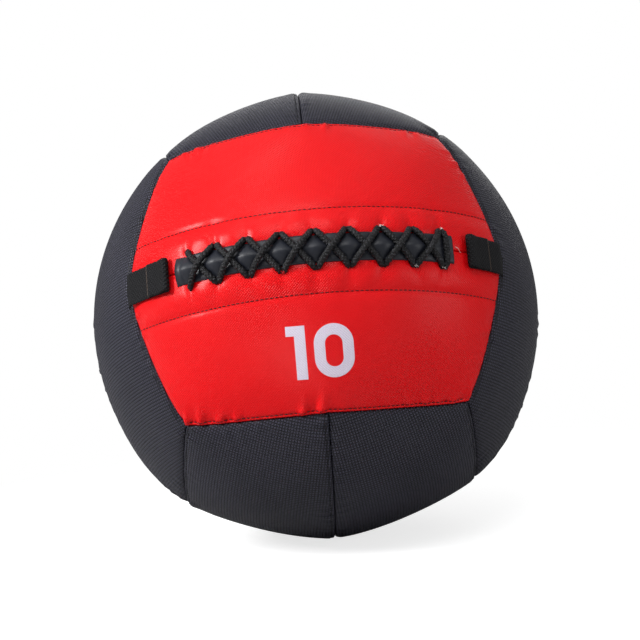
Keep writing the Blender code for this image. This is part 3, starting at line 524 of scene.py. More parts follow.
def simulated_panels():
    """How far the simulation moves each panel's cloth out or in, with the places and shares of its rows."""
    grids, everything, starts, cuts, held = {}, bmesh.new(), [], [], []
    for seed, (name, *sides) in enumerate(PANELS):
        places, shares, directions = panel_grid(*sides, CLOTH_CELL)
        rows, columns = [
            [0, *range(CLOSE_ROWS, count - CLOSE_ROWS), count - 1] for count in (len(places), len(shares))
        ]
        flat = directions[np.ix_(rows, columns)].transpose(1, 0, 2).reshape(-1, 3)
        edges = edge_lines(*sides)
        drawn = ball_radius(flat) + drawn_cloth(flat, edges, name, seed * 100)
        start = flat * drawn[:, None]
        join(everything, grid_of_points(start.reshape(len(columns), len(rows), 3).transpose(1, 0, 2)))
        loose = SLACK * np.clip(0.5 + 0.7 * lumps(flat, 15, 21), 0, 1.4)
        starts.append(start)
        cuts.append(flat * (drawn * (1 + loose))[:, None])
        held.append(np.min([distance(flat, edge) for edge in edges], axis=0) < SEWN_WIDTH)
        grids[name] = (places[rows], shares[columns], drawn, flat)
    data = mesh_data("cloth", everything)
    cloth_piece = placed("cloth", data)
    group = cloth_piece.vertex_groups.new(name="held")
    group.add([int(index) for index in np.flatnonzero(np.concatenate(held))], 1.0, "REPLACE")
    for name, points in (("packed", starts), ("cut", cuts)):
        key = cloth_piece.shape_key_add(name=name)
        key.data.foreach_set("co", (CLOTH_SCALE * np.concatenate(points)).astype(np.float32).ravel())
    data.vertices.foreach_set("co", (CLOTH_SCALE * np.concatenate(starts)).astype(np.float32).ravel())
    data.update()
    cloth = cloth_piece.modifiers.new("cloth", "CLOTH")
    for setting, value in {**CLOTH_SETTINGS, "rest_shape_key": key}.items():
        setattr(cloth.settings, setting, value)
    cloth.settings.effector_weights.gravity = 0.0
    cloth.collision_settings.use_collision = False
    cloth.point_cache.frame_end = CLOTH_FRAMES
    for step in range(1, CLOTH_FRAMES + 1):
        bpy.context.scene.frame_set(step)
    done = cloth_piece.evaluated_get(bpy.context.evaluated_depsgraph_get()).to_mesh()
    moved = np.empty(3 * len(data.vertices), np.float32)
    done.vertices.foreach_get("co", moved)
    moved = moved.reshape(-1, 3) / CLOTH_SCALE
    bpy.context.scene.frame_set(1)
    found, first = {}, 0
    for name, (places, shares, drawn, flat) in grids.items():
        change = (moved[first : first + len(flat)] * flat).sum(-1) - drawn
        change = np.clip(change, -CLOTH_CAP, CLOTH_CAP).reshape(len(shares), len(places)).T
        found[name] = (change, places, shares)
        first += len(flat)
    bpy.data.objects.remove(cloth_piece)
    bpy.data.meshes.remove(data)
    return found


def between(table, from_places, from_shares, places, shares):
    """Values of a table, by its places and shares, read at other places and shares."""
    rows = np.stack([np.interp(places, from_places, column) for column in table.T], axis=1)
    return np.stack([np.interp(shares, from_shares, row) for row in rows])


def even_out(rows):
    """Smooths rows of values in place, each with the rows beside it."""
    rows[1:-1] = (rows[:-2] + 2 * rows[1:-1] + rows[2:]) / 4


SIMULATED = simulated_panels()
SURFACES = {}
for seed, (name, *sides) in enumerate(PANELS):
    is_front = name.startswith("front")
    places, shares, directions = panel_grid(*sides, FINE_CELL if is_front else COARSE_CELL)
    flat, edges = directions.reshape(-1, 3), edge_lines(*sides)
    radii = panel_surface(flat, edges, is_front, name in TOPSTITCHED_MIDDLES)
    radii = (radii + drawn_cloth(flat, edges, name, seed * 100)).reshape(directions.shape[:2])
    if name in SIMULATED:
        change = between(*SIMULATED[name], places, shares)
        for rows in (change, change.T) * 4:
            even_out(rows)
        radii = radii + change
    mesh = grid_of_points(directions * radii[..., None])
    SURFACES[name] = BVHTree.FromBMesh(mesh)

    # The edges are turned in along the seams, and the slot's two lips less deep than the others
    rim = [edge for edge in mesh.edges if edge.is_boundary]
    for depth in (0.0012, 0.0008, 0.003, 0.003):
        made = bmesh.ops.extrude_edge_only(mesh, edges=rim)["geom"]
        rim = [item for item in made if isinstance(item, bmesh.types.BMEdge) and item.is_boundary]
        if is_front and depth == 0.003:
            rim = [edge for edge in rim if max(abs(vert.co.z) for vert in edge.verts) > 0.0006]
        for vert in {vert for edge in rim for vert in edge.verts}:
            vert.co -= vert.co.normalized() * depth
    for vert in in_world(mesh).verts:
        vert.co.z = max(vert.co.z, 0.0)
    look = CHARCOAL if not is_front else RED_PRINTED if name == "front_lower" else RED
    piece = piece_from(
        f"{name}_cover", mesh, look, "ball", "red_cover" if is_front else "charcoal_cover", [f"{name}_panel"],
        lambda uv, co: flat_place(co, *sides),
    )
    thicken(piece, FABRIC_THICKNESS)

# Stitching. Every seam is topstitched once, on the side that its allowance is turned to, and a row holds
# the hem of each red panel's facing. Bonded polyester thread, 0.6 mm, at 3.6 mm a stitch.
STITCH_PITCH, STITCH_LENGTH, THREAD = 0.0036, 0.0029, 0.0008


def front_points(along, up, height):
    """Points by arc length along the slot, arc length above it, and height over the red panels.

    The panels' surface is taken with no dip at the slot, as it is under the strip, lace and straps."""
    along, up, height = np.broadcast_arrays(along, up, height)
    turn, rise = along / BALL_RADIUS, up / BALL_RADIUS
    level = np.cos(rise)
    directions = np.stack([level * np.sin(turn), -level * np.cos(turn), np.sin(rise)], axis=-1)
    flat = directions.reshape(-1, 3)
    rises = BALL_RADIUS * np.abs(np.arcsin(np.clip(flat[:, 2], -1, 1)))
    ends = edge_lines(-Y, X, Z)[2:] + edge_lines(-Y, X, -Z)[2:]
    dip = falling(np.min([distance(flat, edge) for edge in ends], axis=0), SEAM_DIP, SEAM_DIP_SPREAD)
    radius = ball_radius(flat) - dip + front_relief(flat, rises)
    return directions * (radius.reshape(along.shape) + height)[..., None]


def on_cover(line, name, lift=0.00012):
    """A line of directions laid on a finished panel."""
    hits = [(SURFACES[name].ray_cast(Vector(), Vector(direction))[0], direction) for direction in line]
    return np.array([np.array(hit) + lift * direction for hit, direction in hits if hit is not None])


def run_length(path):
    """How far along a path each of its points is."""
    return np.concatenate([[0], np.cumsum(np.linalg.norm(np.diff(path, axis=0), axis=1))])


def at_lengths(path, places):
    """The points of a path at distances along it."""
    return np.stack([np.interp(places, run_length(path), column) for column in path.T], axis=-1)


def add_stitches(mesh, path):
    """Sews a row of stitches along a path of points, each a small bead drawn down at its ends."""
    row = bmesh.new()
    places = np.arange(STITCH_PITCH, run_length(path)[-1] - STITCH_PITCH / 2, STITCH_PITCH)
    for spot, ahead in zip(at_lengths(path, places), at_lengths(path, places + 0.001)):
        run = unit(ahead - spot)
        side = unit(np.cross(unit(spot), run))
        turn = Matrix(np.stack([side, np.cross(run, side), run], axis=1).tolist()).to_4x4()
        turn = Matrix.Translation(spot) @ turn @ Matrix.Diagonal((THREAD / 2, THREAD / 2, STITCH_LENGTH / 2, 1))
        bmesh.ops.create_uvsphere(row, u_segments=6, v_segments=4, radius=1, matrix=turn)
    join(mesh, row)


# Bonded polyester: smooth twisted filament that shines a little. It is drawn 0.8 mm thick so that it shows.
def thread_look(name, colour):
    look, tree = new_material(name)
    space = add(tree, "TexCoord", output="Object")
    lay = add(tree, "TexNoise", {"Vector": space, "Scale": 2500.0, "Detail": 2.0})
    surface(tree, colour, [], {"Roughness": 0.55, "Specular IOR Level": 0.3}, lay, 0.4, 0.0001)
    return look


BLACK_THREAD = thread_look("black bonded polyester thread", "#17171A")
MAROON_THREAD = thread_look("maroon bonded polyester thread", "#38070B")
seams, red_edges, hems = bmesh.new(), bmesh.new(), bmesh.new()
for name, *sides in PANELS:
    edges = edge_lines(*sides, 48)
    centre = panel_frame(*sides)[0]
    for row in edges[1::-1] if name in TOPSTITCHED_MIDDLES else edges[1:2]:
        sideways = unit(np.cross(row, np.gradient(row, axis=0)))
        sideways *= np.sign((sideways * (centre - row)).sum(-1))[:, None]
        line = unit(row + TOPSTITCH_INSET / BALL_RADIUS * sideways)
        line = line[(distance(line, edges[2]) > 0.002) & (distance(line, edges[3]) > 0.002)]
        add_stitches(red_edges if name.startswith("front") else seams, on_cover(line, name))
for name, side in (("front_lower", -1), ("front_upper", 1)):
    reach = SLOT_HALF - 0.004
    add_stitches(hems, on_cover(unit(front_points(np.linspace(-reach, reach, 200), side * HEM_LINE, 0.0)), name))
for name, mesh, look, slot in (
    ("seam_topstitching", seams, BLACK_THREAD, "charcoal_cover"),
    ("red_edge_topstitching", red_edges, MAROON_THREAD, "red_cover"),
    ("hem_stitching", hems, MAROON_THREAD, "red_cover"),
):
    piece_from(name, in_world(mesh), look, "ball", slot)

# Facings. A doubled strip of plain cloth is sewn behind each red panel along the slot, and carries the
# lace's holes. Its far edge is held by the row of stitches that shows on the panel.
FACING_HALF_LENGTH, FACING_START, FACING_WIDTH, FACING_THICKNESS = 0.14332, 0.00215, 0.033, 0.0012
FACING_DEPTH = 0.0025


# Woven polyester: dull plain cloth with a faint sheen. Its threads are drawn 1.2 mm apart so that they show.
def plain_cloth(name, light, dark, pitch):
    look, tree = new_material(name)
    uv, space = add(tree, "UVMap"), add(tree, "TexCoord", output="Object")
    weave = ripples(tree, uv, pitch, (0, 90), "MAXIMUM")
    shadow = add(tree, "TexNoise", {"Vector": space, "Scale": 60.0, "Detail": 4.0})
    sheen = {"Roughness": 0.9, "Sheen Weight": 0.2, "Sheen Roughness": 0.5}
    surface(tree, dark, [(shadow, light)], sheen, weave, 0.5, 0.0003)
    return look


LINING = plain_cloth("grey woven polyester lining", "#77777A", "#66666A", 0.0012)
for part, side in (("upper", 1), ("lower", -1)):
    def on_facing(u, v):
        up = side * (FACING_START + v * (FACING_WIDTH - FACING_START))
        return world(front_points(FACING_HALF_LENGTH * (2 * u - 1), up, -FACING_DEPTH))

    mesh = grid_mesh(120, 14, on_facing)
    if side > 0:
        bmesh.ops.reverse_faces(mesh, faces=mesh.faces)
    piece = piece_from(
        f"{part}_slot_facing", mesh, LINING, "ball", "lining_cloth", [f"{part}_facing"],
        lambda uv, co: uv * (2 * FACING_HALF_LENGTH, FACING_WIDTH - FACING_START),
    )
    thicken(piece, FACING_THICKNESS)

# Lacing strip. A strip of soft black vinyl folded over foam lies on the closed slot. The lace presses it
# down where it crosses, so that it stands up as a small pillow at each pair of holes.
STRIP_HALF_LENGTH, STRIP_HALF_WIDTH, STRIP_WAIST, STRIP_ROUND = 0.1050, 0.0105, 0.0007, 0.0012
STRIP_SEAT, STRIP_CROWN, STRIP_PRESSED, STRIP_EDGE = 0.0002, 0.0050, 0.0013, 0.0008
STRIP_TOP = 0.7


def on_strip(u, v):
    """Round the strip's section: over its top from edge to edge, and back along its flat underside."""
    along = STRIP_HALF_LENGTH * (2 * u - 1)
    over = v <= STRIP_TOP
    share = np.where(over, 2 * v / STRIP_TOP - 1, 1 - 2 * (v - STRIP_TOP) / (1 - STRIP_TOP))
    columns = np.array([column_place(column) for column in range(LACE_COLUMNS - 1)])
    from_column = np.clip(np.abs(along[:, None] - columns).min(axis=1) / (LACE_PITCH / 2), 0, 1)
    half_width = STRIP_HALF_WIDTH - STRIP_WAIST * (1 - from_column) ** 2
    # Positive inside the diamonds that the lace leaves open, nought under the lace
    swell = (np.cos(math.pi * from_column) + np.cos(math.pi * share)) / 2
    loose = np.clip((columns[0] - along) / (STRIP_HALF_LENGTH + columns[0]), 0, 1)
    bulge = (0.3 + 0.5 * np.sin(math.pi * loose)) * np.cos(math.pi / 2 * share)
    swell = np.where(along < columns[0], np.maximum(swell, np.minimum(1, 3 * loose) * bulge), swell)
    top = STRIP_PRESSED + (STRIP_CROWN - STRIP_PRESSED) * np.where(swell > 0, np.abs(swell) ** 0.7, -0.3 * swell)
    round_edge = np.sqrt(np.clip(1 - np.abs(share) ** 6, 0, 1))
    past = np.clip(np.abs(along) - STRIP_HALF_LENGTH + STRIP_ROUND, 0, STRIP_ROUND) / STRIP_ROUND
    top = top * round_edge * np.sqrt(np.clip(1 - past**2, 0, 1))
    height = np.where(over, STRIP_SEAT + STRIP_EDGE * (1 - round_edge) + top, STRIP_SEAT)
    return world(front_points(along, share * half_width, height))


def closed_up(mesh):
    """Joins a grid that was rolled into a tube along its meeting edges, and closes what is open."""
    bmesh.ops.remove_doubles(mesh, verts=mesh.verts, dist=0.000002)
    bmesh.ops.holes_fill(mesh, edges=[edge for edge in mesh.edges if edge.is_boundary], sides=0)
    bmesh.ops.recalc_face_normals(mesh, faces=mesh.faces)
    return mesh


# Soft vinyl: a smooth film with a faint moulded grain, that shines softly along its pillows.
def smooth_vinyl(name):
    look, tree = new_material(name)
    space = add(tree, "TexCoord", output="Object")
    grain = add(tree, "TexVoronoi", {"Vector": space, "Scale": 1400.0}, feature="DISTANCE_TO_EDGE")
    creases = add(tree, "TexNoise", {"Vector": space, "Scale": 180.0, "Detail": 4.0})
    height = add(tree, "Math", {0: grain, 1: 0.15, 2: creases}, operation="MULTIPLY_ADD")
    rough = add(tree, "MapRange", {"Value": creases, "To Min": 0.4, "To Max": 0.52})
    gloss = {"Roughness": rough, "IOR": 1.5, "Specular IOR Level": 0.4}
    surface(tree, "#191C25", [], gloss, height, 0.25, 0.0004)
    return look


piece = piece_from(
    "padded_lacing_strip", closed_up(grid_mesh(416, 56, on_strip)), smooth_vinyl("black soft vinyl over foam"),
    "ball", "black_vinyl", ["lacing_strip"], lambda uv, co: uv * (2 * STRIP_HALF_LENGTH, 0.05),
)

# Lace. One round braided polyester cord, 3.5 mm thick, runs over the strip and back under the cover
# through nine pairs of holes. Its two strands cross over the strip and meet as a peak at every hole.
CORD, STRAND_GAP, SEAT = 0.0035, 0.0008, 0.0006
SHOULDER, BEND, LEAN, INNER = 0.8, 0.6, 0.1, 0.0037
BRAID_PITCH, BRAID_DEPTH = 0.0034, 0.0009
STRAND_SIDE, PLUMP, LACE_STEP, YARN_PITCH = 0.0016, 0.00265, 0.0005, 0.0021
KNOT_HALF_HEIGHT, KNOT_LEVEL = 0.0042, -0.0078


def lace_route():
    """The lace's centre line as (place along the slot, place above it, height over the cover)."""
    shallow = -(INNER + SEAT + CORD / 2)
    deep = shallow - CORD - STRAND_GAP
    low, high = 0.0032, 0.0063
    shoulder, bend = LACE_ROW - SHOULDER * CORD, LACE_ROW - BEND * CORD
    sides = [(column_place(k) - STRAND_SIDE, column_place(k) + STRAND_SIDE) for k in range(LACE_COLUMNS)]
    first, last = sides[0][1], sides[-1][1]

    def through(place, edge, going_in):
        points = [(place, edge * LACE_ROW, SEAT), (place, edge * LACE_ROW, -INNER)]
        return points if going_in else points[::-1]

    def across(start, end, edge, reach, near, middle):
        part = LEAN * (end - start)
        return [(start + part, edge * reach, near), ((start + end) / 2, 0, middle), (end - part, -edge * reach, near)]

    route = [(first, KNOT_HALF_HEIGHT, KNOT_LEVEL), (first, bend, shallow), *through(first, 1, False)]
    for (_, before), (left, right) in zip(sides, sides[1:]):
        route += across(before, left, 1, shoulder, low, low) + through(left, -1, True)
        route += across(left, right, -1, bend, shallow, shallow) + through(right, 1, False)
    route += across(last, last, 1, shoulder, low, low) + through(last, -1, True)
    for (left, right), (_, after) in zip(sides[:0:-1], sides[-2::-1]):
        route += across(right, left, -1, bend, deep, deep) + through(left, 1, False)
        route += across(left, after, 1, shoulder, low, high) + through(after, -1, True)
    return np.array(route + [(first, -bend, shallow), (first, -KNOT_HALF_HEIGHT, KNOT_LEVEL)])


def evenly(points, step, rounds=0):
    """A smooth curve through points, with its points an even step apart."""
    padded = np.concatenate([[2 * points[0] - points[1]], points, [2 * points[-1] - points[-2]]])
    knots = np.concatenate([[0], np.cumsum(np.sqrt(np.linalg.norm(np.diff(padded, axis=0), axis=1)))])
    dense = []
    for i in range(1, len(padded) - 2):
        t0, t1, t2, t3 = knots[i - 1 : i + 3]
        p0, p1, p2, p3 = padded[i - 1 : i + 3]
        t = np.linspace(t1, t2, 10, endpoint=False)[:, None]
        a1 = (t1 - t) / (t1 - t0) * p0 + (t - t0) / (t1 - t0) * p1
        a2 = (t2 - t) / (t2 - t1) * p1 + (t - t1) / (t2 - t1) * p2
        a3 = (t3 - t) / (t3 - t2) * p2 + (t - t2) / (t3 - t2) * p3
        b1 = (t2 - t) / (t2 - t0) * a1 + (t - t0) / (t2 - t0) * a2
        b2 = (t3 - t) / (t3 - t1) * a2 + (t - t1) / (t3 - t1) * a3
        dense.extend((t2 - t) / (t2 - t1) * b1 + (t - t1) / (t2 - t1) * b2)
    dense = np.array(dense + [points[-1]])
    total = run_length(dense)[-1]
    dense = at_lengths(dense, np.linspace(0, total, round(total / step) + 1))
    for _ in range(rounds):
        even_out(dense)
    return dense


def swept(path, sides, section):
    """A grid rolled into a tube along a path, with its radius by step and angle."""
    tangents = unit(np.gradient(path, axis=0))
    side = unit(np.cross(tangents[0], [0.3, -1.0, 0.5]))
    sideways = []
    for tangent in tangents:
        side = unit(side - (side @ tangent) * tangent)
        sideways.append(side)
    sideways = np.array(sideways)
    over = np.cross(tangents, sideways)

    def on_tube(u, v):
        i, angle = np.rint(u * (len(path) - 1)).astype(int), 2 * math.pi * v
        size, angle = section(i, angle), angle % (2 * math.pi)
        beside, above = (size * np.cos(angle))[:, None], (size * np.sin(angle))[:, None]
        return world(path[i] + beside * sideways[i] + above * over[i])

    return closed_up(grid_mesh(len(path) - 1, sides, on_tube))


def braided(step, radius):
    """The section of a round braid: staggered bumps where its strands pass over each other."""
    return lambda i, angle: radius + BRAID_DEPTH / 2 * (
        np.cos(4 * angle) * np.cos(2 * math.pi * i * step / BRAID_PITCH) - 1
    )


# Braided polyester: black matt yarn. Paler flecks are painted where single filaments catch the light, as
# painted glints, and the yarn pattern is painted a little paler. Its yarns are drawn 2.1 mm apart, coarser
# than the real ones, so that they show.
def braided_cord(name):
    look, tree = new_material(name)
    uv, space = add(tree, "UVMap"), add(tree, "TexCoord", output="Object")
    yarn = ripples(tree, uv, YARN_PITCH, (35, -35), "MULTIPLY")
    flecks = add(tree, "TexNoise", {"Vector": space, "Scale": 1000.0, "Detail": 3.0})
    # Painted glints: pale flecks where filaments would catch the light, with the yarn pattern a little paler
    pale = add(tree, "MapRange", {"Value": flecks, "From Min": 0.61, "From Max": 0.74})
    pale = add(tree, "Math", {0: yarn, 1: 0.24, 2: pale}, operation="MULTIPLY_ADD")
    height = add(tree, "Math", {0: yarn, 1: flecks})
    gloss = {"Roughness": 0.6, "Specular IOR Level": 0.3}
    surface(tree, "#040405", [(pale, "#55555D")], gloss, height, 1.0, 0.0005)
    return look


CORD_LOOK = braided_cord("black braided polyester cord")
route = evenly(front_points(*lace_route().T), LACE_STEP, rounds=3)
piece_from(
    "braided_lace", swept(route, 16, braided(LACE_STEP, PLUMP)), CORD_LOOK, "ball", "black_cord", ["lace"],
    lambda uv, co: uv * (len(route) * LACE_STEP, math.pi * CORD),
)

# Frayed filaments. Where the lace rubs in its holes, a few filaments of the cover's scrim and of the cord's
# pale core stand out, and one loose end of thread lies on the cover beyond the strip.
FILAMENT = 0.00019
FRAYED = {"red": ((0, 1), (1, 1), (3, -1)), "pale": ((6, 1), (7, -1), (8, 1), (8, -1))}
FRAYED_LOOKS = {
    "red": thread_look("frayed red polyester filament", "#C81A1C"),
    "pale": thread_look("frayed undyed polyester filament", "#CFC8C4"),
}
source = np.random.default_rng(12)
for part, look in FRAYED_LOOKS.items():
    paths, share = [], np.linspace(0, 1, 7)
    for column, side in FRAYED[part]:
        for _ in range(5):
            start, lean = source.uniform(-0.0012, 0.0012), source.uniform(-0.0016, 0.0016)
            reach, rise = source.uniform(0.0012, 0.0030), source.uniform(0.0012, 0.0030)
            along, up = column_place(column) + start + lean * share**2, side * (LACE_ROW + reach * share)
            paths.append(front_points(along, up, 0.0012 + rise * share * (1.6 - share)))
    if part == "pale":
        share = np.linspace(0, 1, 12)
        loose_end = (0.1068 + 0.0052 * share, 0.0024 - 0.0036 * share, 0.0009 + 0.0008 * np.sin(5 * share))
        paths.append(front_points(*loose_end))
    tuft = bmesh.new()
    for path in paths:
        join(tuft, swept(path, 5, lambda i, angle: FILAMENT))
    piece_from(f"{part}_frayed_filaments", tuft, look, "ball", "black_cord")

# Lace knot. Both ends of the lace are tied together in an overhand knot behind the first pair of holes.
KNOT_SIZE = (0.00105, 0.00090, 0.0009)
turns = np.linspace(0, 2 * math.pi, 181)
knot = np.stack([
    np.cos(turns) - 2 * np.cos(2 * turns), np.sin(turns) + 2 * np.sin(2 * turns), -np.sin(3 * turns) * 1.4
], axis=1) * KNOT_SIZE
first = front_points(column_place(0) + STRAND_SIDE, 0.0, KNOT_LEVEL)
out = unit(first)
across_knot = unit(np.cross(Z, out))
knot = first + knot @ np.stack([across_knot, np.cross(out, across_knot), out])
piece_from(
    "tied_lace_knot", swept(knot, 16, braided(0.0003, CORD / 2 * 0.85)), CORD_LOOK, "ball", "black_cord",
    ["lace_knot"], lambda uv, co: uv * (0.05, math.pi * CORD),
)

# Straps. A length of black 25 mm webbing is sewn into each side seam, at the ends of the slot, folded
# back on itself and sewn down, so that its free end makes a flat tab, which a finger can lift on the real
# ball. Here the tab is drawn fixed in place.
WEBBING_WIDTH, WEBBING_THICKNESS, WEBBING_STEP, EDGE_SCALLOP = 0.025, 0.0015, 0.00035, 0.0002
STRAP_SEAT, FOLD_HALF, BENDING, SEAM_FADE = 0.0005, 0.0021, 0.012, 0.012
STRAP_LEVEL = STRAP_SEAT + WEBBING_THICKNESS / 2
LAYER = WEBBING_THICKNESS + 0.0003


# Woven polypropylene: dull black yarn in a slanting weave, drawn 2.1 mm apart so that it shows. Its free
# end is sealed with a hot knife, which leaves a thin brown line.
def woven_webbing(name):
    look, tree = new_material(name)
    uv, space = add(tree, "UVMap"), add(tree, "TexCoord", output="Object")
    weave = ripples(tree, uv, YARN_PITCH, (42, -42), "MULTIPLY")
    fuzz = add(tree, "TexNoise", {"Vector": space, "Scale": 1400.0, "Detail": 3.0})
    start = add(tree, "SeparateXYZ", {"Vector": uv}, "X")
    sealed = add(tree, "MapRange", {"Value": start, "From Min": 0.0009, "From Max": 0.0006})
    height = add(tree, "Math", {0: fuzz, 1: 0.5, 2: weave}, operation="MULTIPLY_ADD")
    gloss = {"Roughness": 0.7, "Specular IOR Level": 0.22}
    surface(tree, "#040405", [(weave, "#1F1F24"), (sealed, "#463B34")], gloss, height, 1.0, 0.0007)
    return look


WEBBING = woven_webbing("black woven polypropylene webbing")


def seam_inset(up):
    """How far the side seam lies inside the slot's end, at a distance above or below the slot."""
    line = seam(-Y, X, -Y + X + Z, np.linspace(0, 0.4, 20))
    insets = SLOT_HALF - BALL_RADIUS * np.arctan2(line[:, 0], -line[:, 1])
    return np.interp(np.abs(up), BALL_RADIUS * np.arcsin(line[:, 2]), insets)


def webbing_mesh(middle, outs, into):
    """Webbing along a path of middles, square to each step's outward direction, that ends along the seam."""
    tangents = unit(np.gradient(middle, axis=0))
    widths = unit(np.cross(tangents, outs))
    faces_out = np.cross(widths, tangents)

    def on_webbing(u, v):
        i = np.rint(u * (len(middle) - 1)).astype(int)
        v = v % 1.0
        wide = np.where(v < 0.5, 1 - 4 * v, 4 * v - 3)
        thick = np.sign(0.5 - v) * np.sqrt(np.clip(1 - np.abs(wide) ** 10, 0, 1))
        a = (WEBBING_WIDTH / 2 + EDGE_SCALLOP * np.cos(2 * math.pi * i / 5)) * wide
        b, inset = WEBBING_THICKNESS / 2 * thick, seam_inset(a)
        return world(middle[i] + a[:, None] * widths[i] + b[:, None] * faces_out[i] + inset[:, None] * into[i])

    return closed_up(grid_mesh(len(middle) - 1, 80, on_webbing))


for part, side, length, turn_back in (("left", -1, 0.0465, 0.0200), ("right", 1, 0.0405, 0.0215)):
    node = f"{part}_strap"
    fold = SLOT_HALF - length + FOLD_HALF
    path = [(SLOT_HALF + share * (fold - SLOT_HALF), STRAP_LEVEL) for share in np.linspace(0, 1, 9)]
    # The fold stays rounded like a drop, and the two layers lie on each other from there to the free end
    path += [
        (fold - FOLD_HALF * math.cos(angle), STRAP_LEVEL + FOLD_HALF * (1 + math.sin(angle)))
        for angle in np.linspace(-math.pi / 2, math.pi / 2, 8)[1:-1]
    ]
    path += [
        (fold + share * (turn_back - FOLD_HALF), STRAP_LEVEL + LAYER
         + (2 * FOLD_HALF - LAYER) * (1 + math.cos(math.pi * min(share / 0.45, 1))) / 2)
        for share in np.linspace(0, 1, 12)
    ]
    places, heights = np.array(path).T
    middle = evenly(front_points(side * places, 0.0, heights), WEBBING_STEP)
    tangents = unit(np.gradient(middle, axis=0))
    outs = np.cross(tangents, np.broadcast_to(Z * side, tangents.shape))
    fade = np.clip(1 - np.arange(len(middle)) * WEBBING_STEP / SEAM_FADE, 0, 1)
    total = len(middle) * WEBBING_STEP
    piece = piece_from(
        f"{part}_webbing_tab", webbing_mesh(middle, outs, tangents * fade[:, None]), WEBBING, None,
        "black_webbing", [node],
        lambda uv, co: (1 - uv[:, 0:1]) * (total, 0) + uv[:, 1:2] * (0, 2 * WEBBING_WIDTH),
    )
    root, bent = world(front_points(np.array([SLOT_HALF, SLOT_HALF - BENDING]) * side, 0.0, STRAP_LEVEL))
    tuple(root)
    tuple(bent)
    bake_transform(piece)

# Strap roots. The same webbing goes down between the folded edges of the side seam, where it is sewn in.
ROOT_TOP, ROOT_FOOT = 0.0011, 0.0097
for part, side in (("left", -1), ("right", 1)):
    top = front_points(side * SLOT_HALF, 0.0, STRAP_LEVEL)
    middle = top - unit(top) * np.linspace(ROOT_TOP, ROOT_FOOT, 26)[:, None]
    inwards = np.broadcast_to(np.cross(unit(top), Z) * side, middle.shape)
    piece_from(
        f"{part}_webbing_root", webbing_mesh(middle, inwards, -inwards), WEBBING, "ball", "black_webbing",
        [f"{part}_strap_root"], lambda uv, co: uv * (0.009, 2 * WEBBING_WIDTH) + (0.002, 0),
    )

# Inner bag. Two halves of plain cloth, sewn together round the ball, keep the fibre off the seams and the
# lace. Packed tight, the cloth shows faint lumps of the fibre under it.
BAG_DEPTH, BAG_THICKNESS, BAG_GAP, BAG_LUMP = 0.0134, 0.0008, 0.0006, 0.0002


def round_mesh(subdivisions):
    mesh = bmesh.new()
    mesh.loops.layers.uv.verify()
    bmesh.ops.create_icosphere(mesh, subdivisions=subdivisions, radius=1, calc_uvs=True)
    return mesh


def put_out(mesh, radius_of, shift=(0, 0, 0)):
    """Puts a round mesh's points at their radius by direction."""
    directions = unit(np.array([vert.co for vert in mesh.verts]))
    for vert, direction, radius in zip(mesh.verts, directions, radius_of(directions)):
        vert.co = direction * radius + shift
    return mesh


def half_ball(side, radius_of, gap, subdivisions=6):
    """Half of a round form, open at its flat side."""
    mesh = round_mesh(subdivisions)
    everything = mesh.verts[:] + mesh.edges[:] + mesh.faces[:]
    bmesh.ops.bisect_plane(
        mesh, geom=everything, dist=0.00001, plane_co=(0, 0, 0), plane_no=(0, side, 0), clear_inner=True
    )
    return put_out(mesh, radius_of, (0, side * gap / 2, 0))


for part, side in (("front", -1), ("back", 1)):
    mesh = half_ball(side, lambda d: ball_radius(d) - BAG_DEPTH - BAG_LUMP + BAG_LUMP * lumps(d, 9, 5), BAG_GAP)
    piece = piece_from(
        f"{part}_bag_half", in_world(mesh), LINING, "ball", "lining_cloth", [f"{part}_inner_bag"],
        lambda uv, co: flat_place(co, Y * side, X, Z),
    )
    thicken(piece, BAG_THICKNESS)

# Filling. Shredded polyester fibre is packed hard into the bag round the weight, in two halves that meet
# across the ball's middle, with a hollow at the centre for the pouch and its neck.
FILL_DEPTH, FILL_GAP = BAG_DEPTH + BAG_THICKNESS + 0.0010, 0.0004
POUCH, NECK, NECK_TOP = 0.0465, 0.0138, 0.0614


def hollow_radius(directions):
    angle = np.arccos(np.clip(directions[:, 2], -1, 1))
    neck = np.minimum(NECK / np.maximum(np.sin(angle), 1e-6), NECK_TOP / np.maximum(np.cos(angle), 1e-6))
    return np.where(angle < 0.4, np.maximum(POUCH, neck), POUCH)


# Shredded fibre: pale grey, matt and clumped, with a faint sheen from its loose ends.
def packed_fibre(name):
    look, tree = new_material(name)
    space = add(tree, "TexCoord", output="Object")
    strands = add(tree, "TexNoise", {"Vector": space, "Scale": 240.0, "Detail": 6.0, "Distortion": 2.5})
    clumps = add(tree, "TexVoronoi", {"Vector": space, "Scale": 90.0})
    height = add(tree, "Math", {0: strands, 1: clumps})
    sheen = {"Roughness": 0.95, "Sheen Weight": 0.3, "Sheen Roughness": 0.6}
    surface(tree, "#8B857E", [(strands, "#A9A49C")], sheen, height, 0.8, 0.0015)
    return look


FIBRE = packed_fibre("packed shredded polyester fibre")
for part, side in (("front", -1), ("back", 1)):
    mesh = half_ball(side, lambda d: ball_radius(d) - FILL_DEPTH + 0.0005 * lumps(d, 16, 3), FILL_GAP)
    inside = half_ball(side, lambda d: hollow_radius(d) + 0.0004, FILL_GAP, 5)
    bmesh.ops.reverse_faces(inside, faces=inside.faces)
    join(mesh, inside)
    bmesh.ops.bridge_loops(mesh, edges=[edge for edge in mesh.edges if edge.is_boundary])
    bmesh.ops.recalc_face_normals(mesh, faces=mesh.faces)
    piece = piece_from(f"{part}_fibre_half", in_world(mesh), FIBRE, "ball", "packed_fibre", [f"{part}_fill"])

# Weight. Iron sand fills a round cloth pouch at the ball's centre, gathered at its neck and tied there
# with a turn of cord.
POUCH_RADIUS, POUCH_WALL, NECK_RADIUS, NECK_LENGTH, NECK_FLARE = 0.046, 0.001, 0.010, 0.016, 0.003
NECK_FOOT = math.sqrt(POUCH_RADIUS**2 - NECK_RADIUS**2)
TIE_RADIUS, TIE_CORD = 0.0118, 0.0017
SAND_RADIUS, SAND_TOP = 0.0443, 0.0440


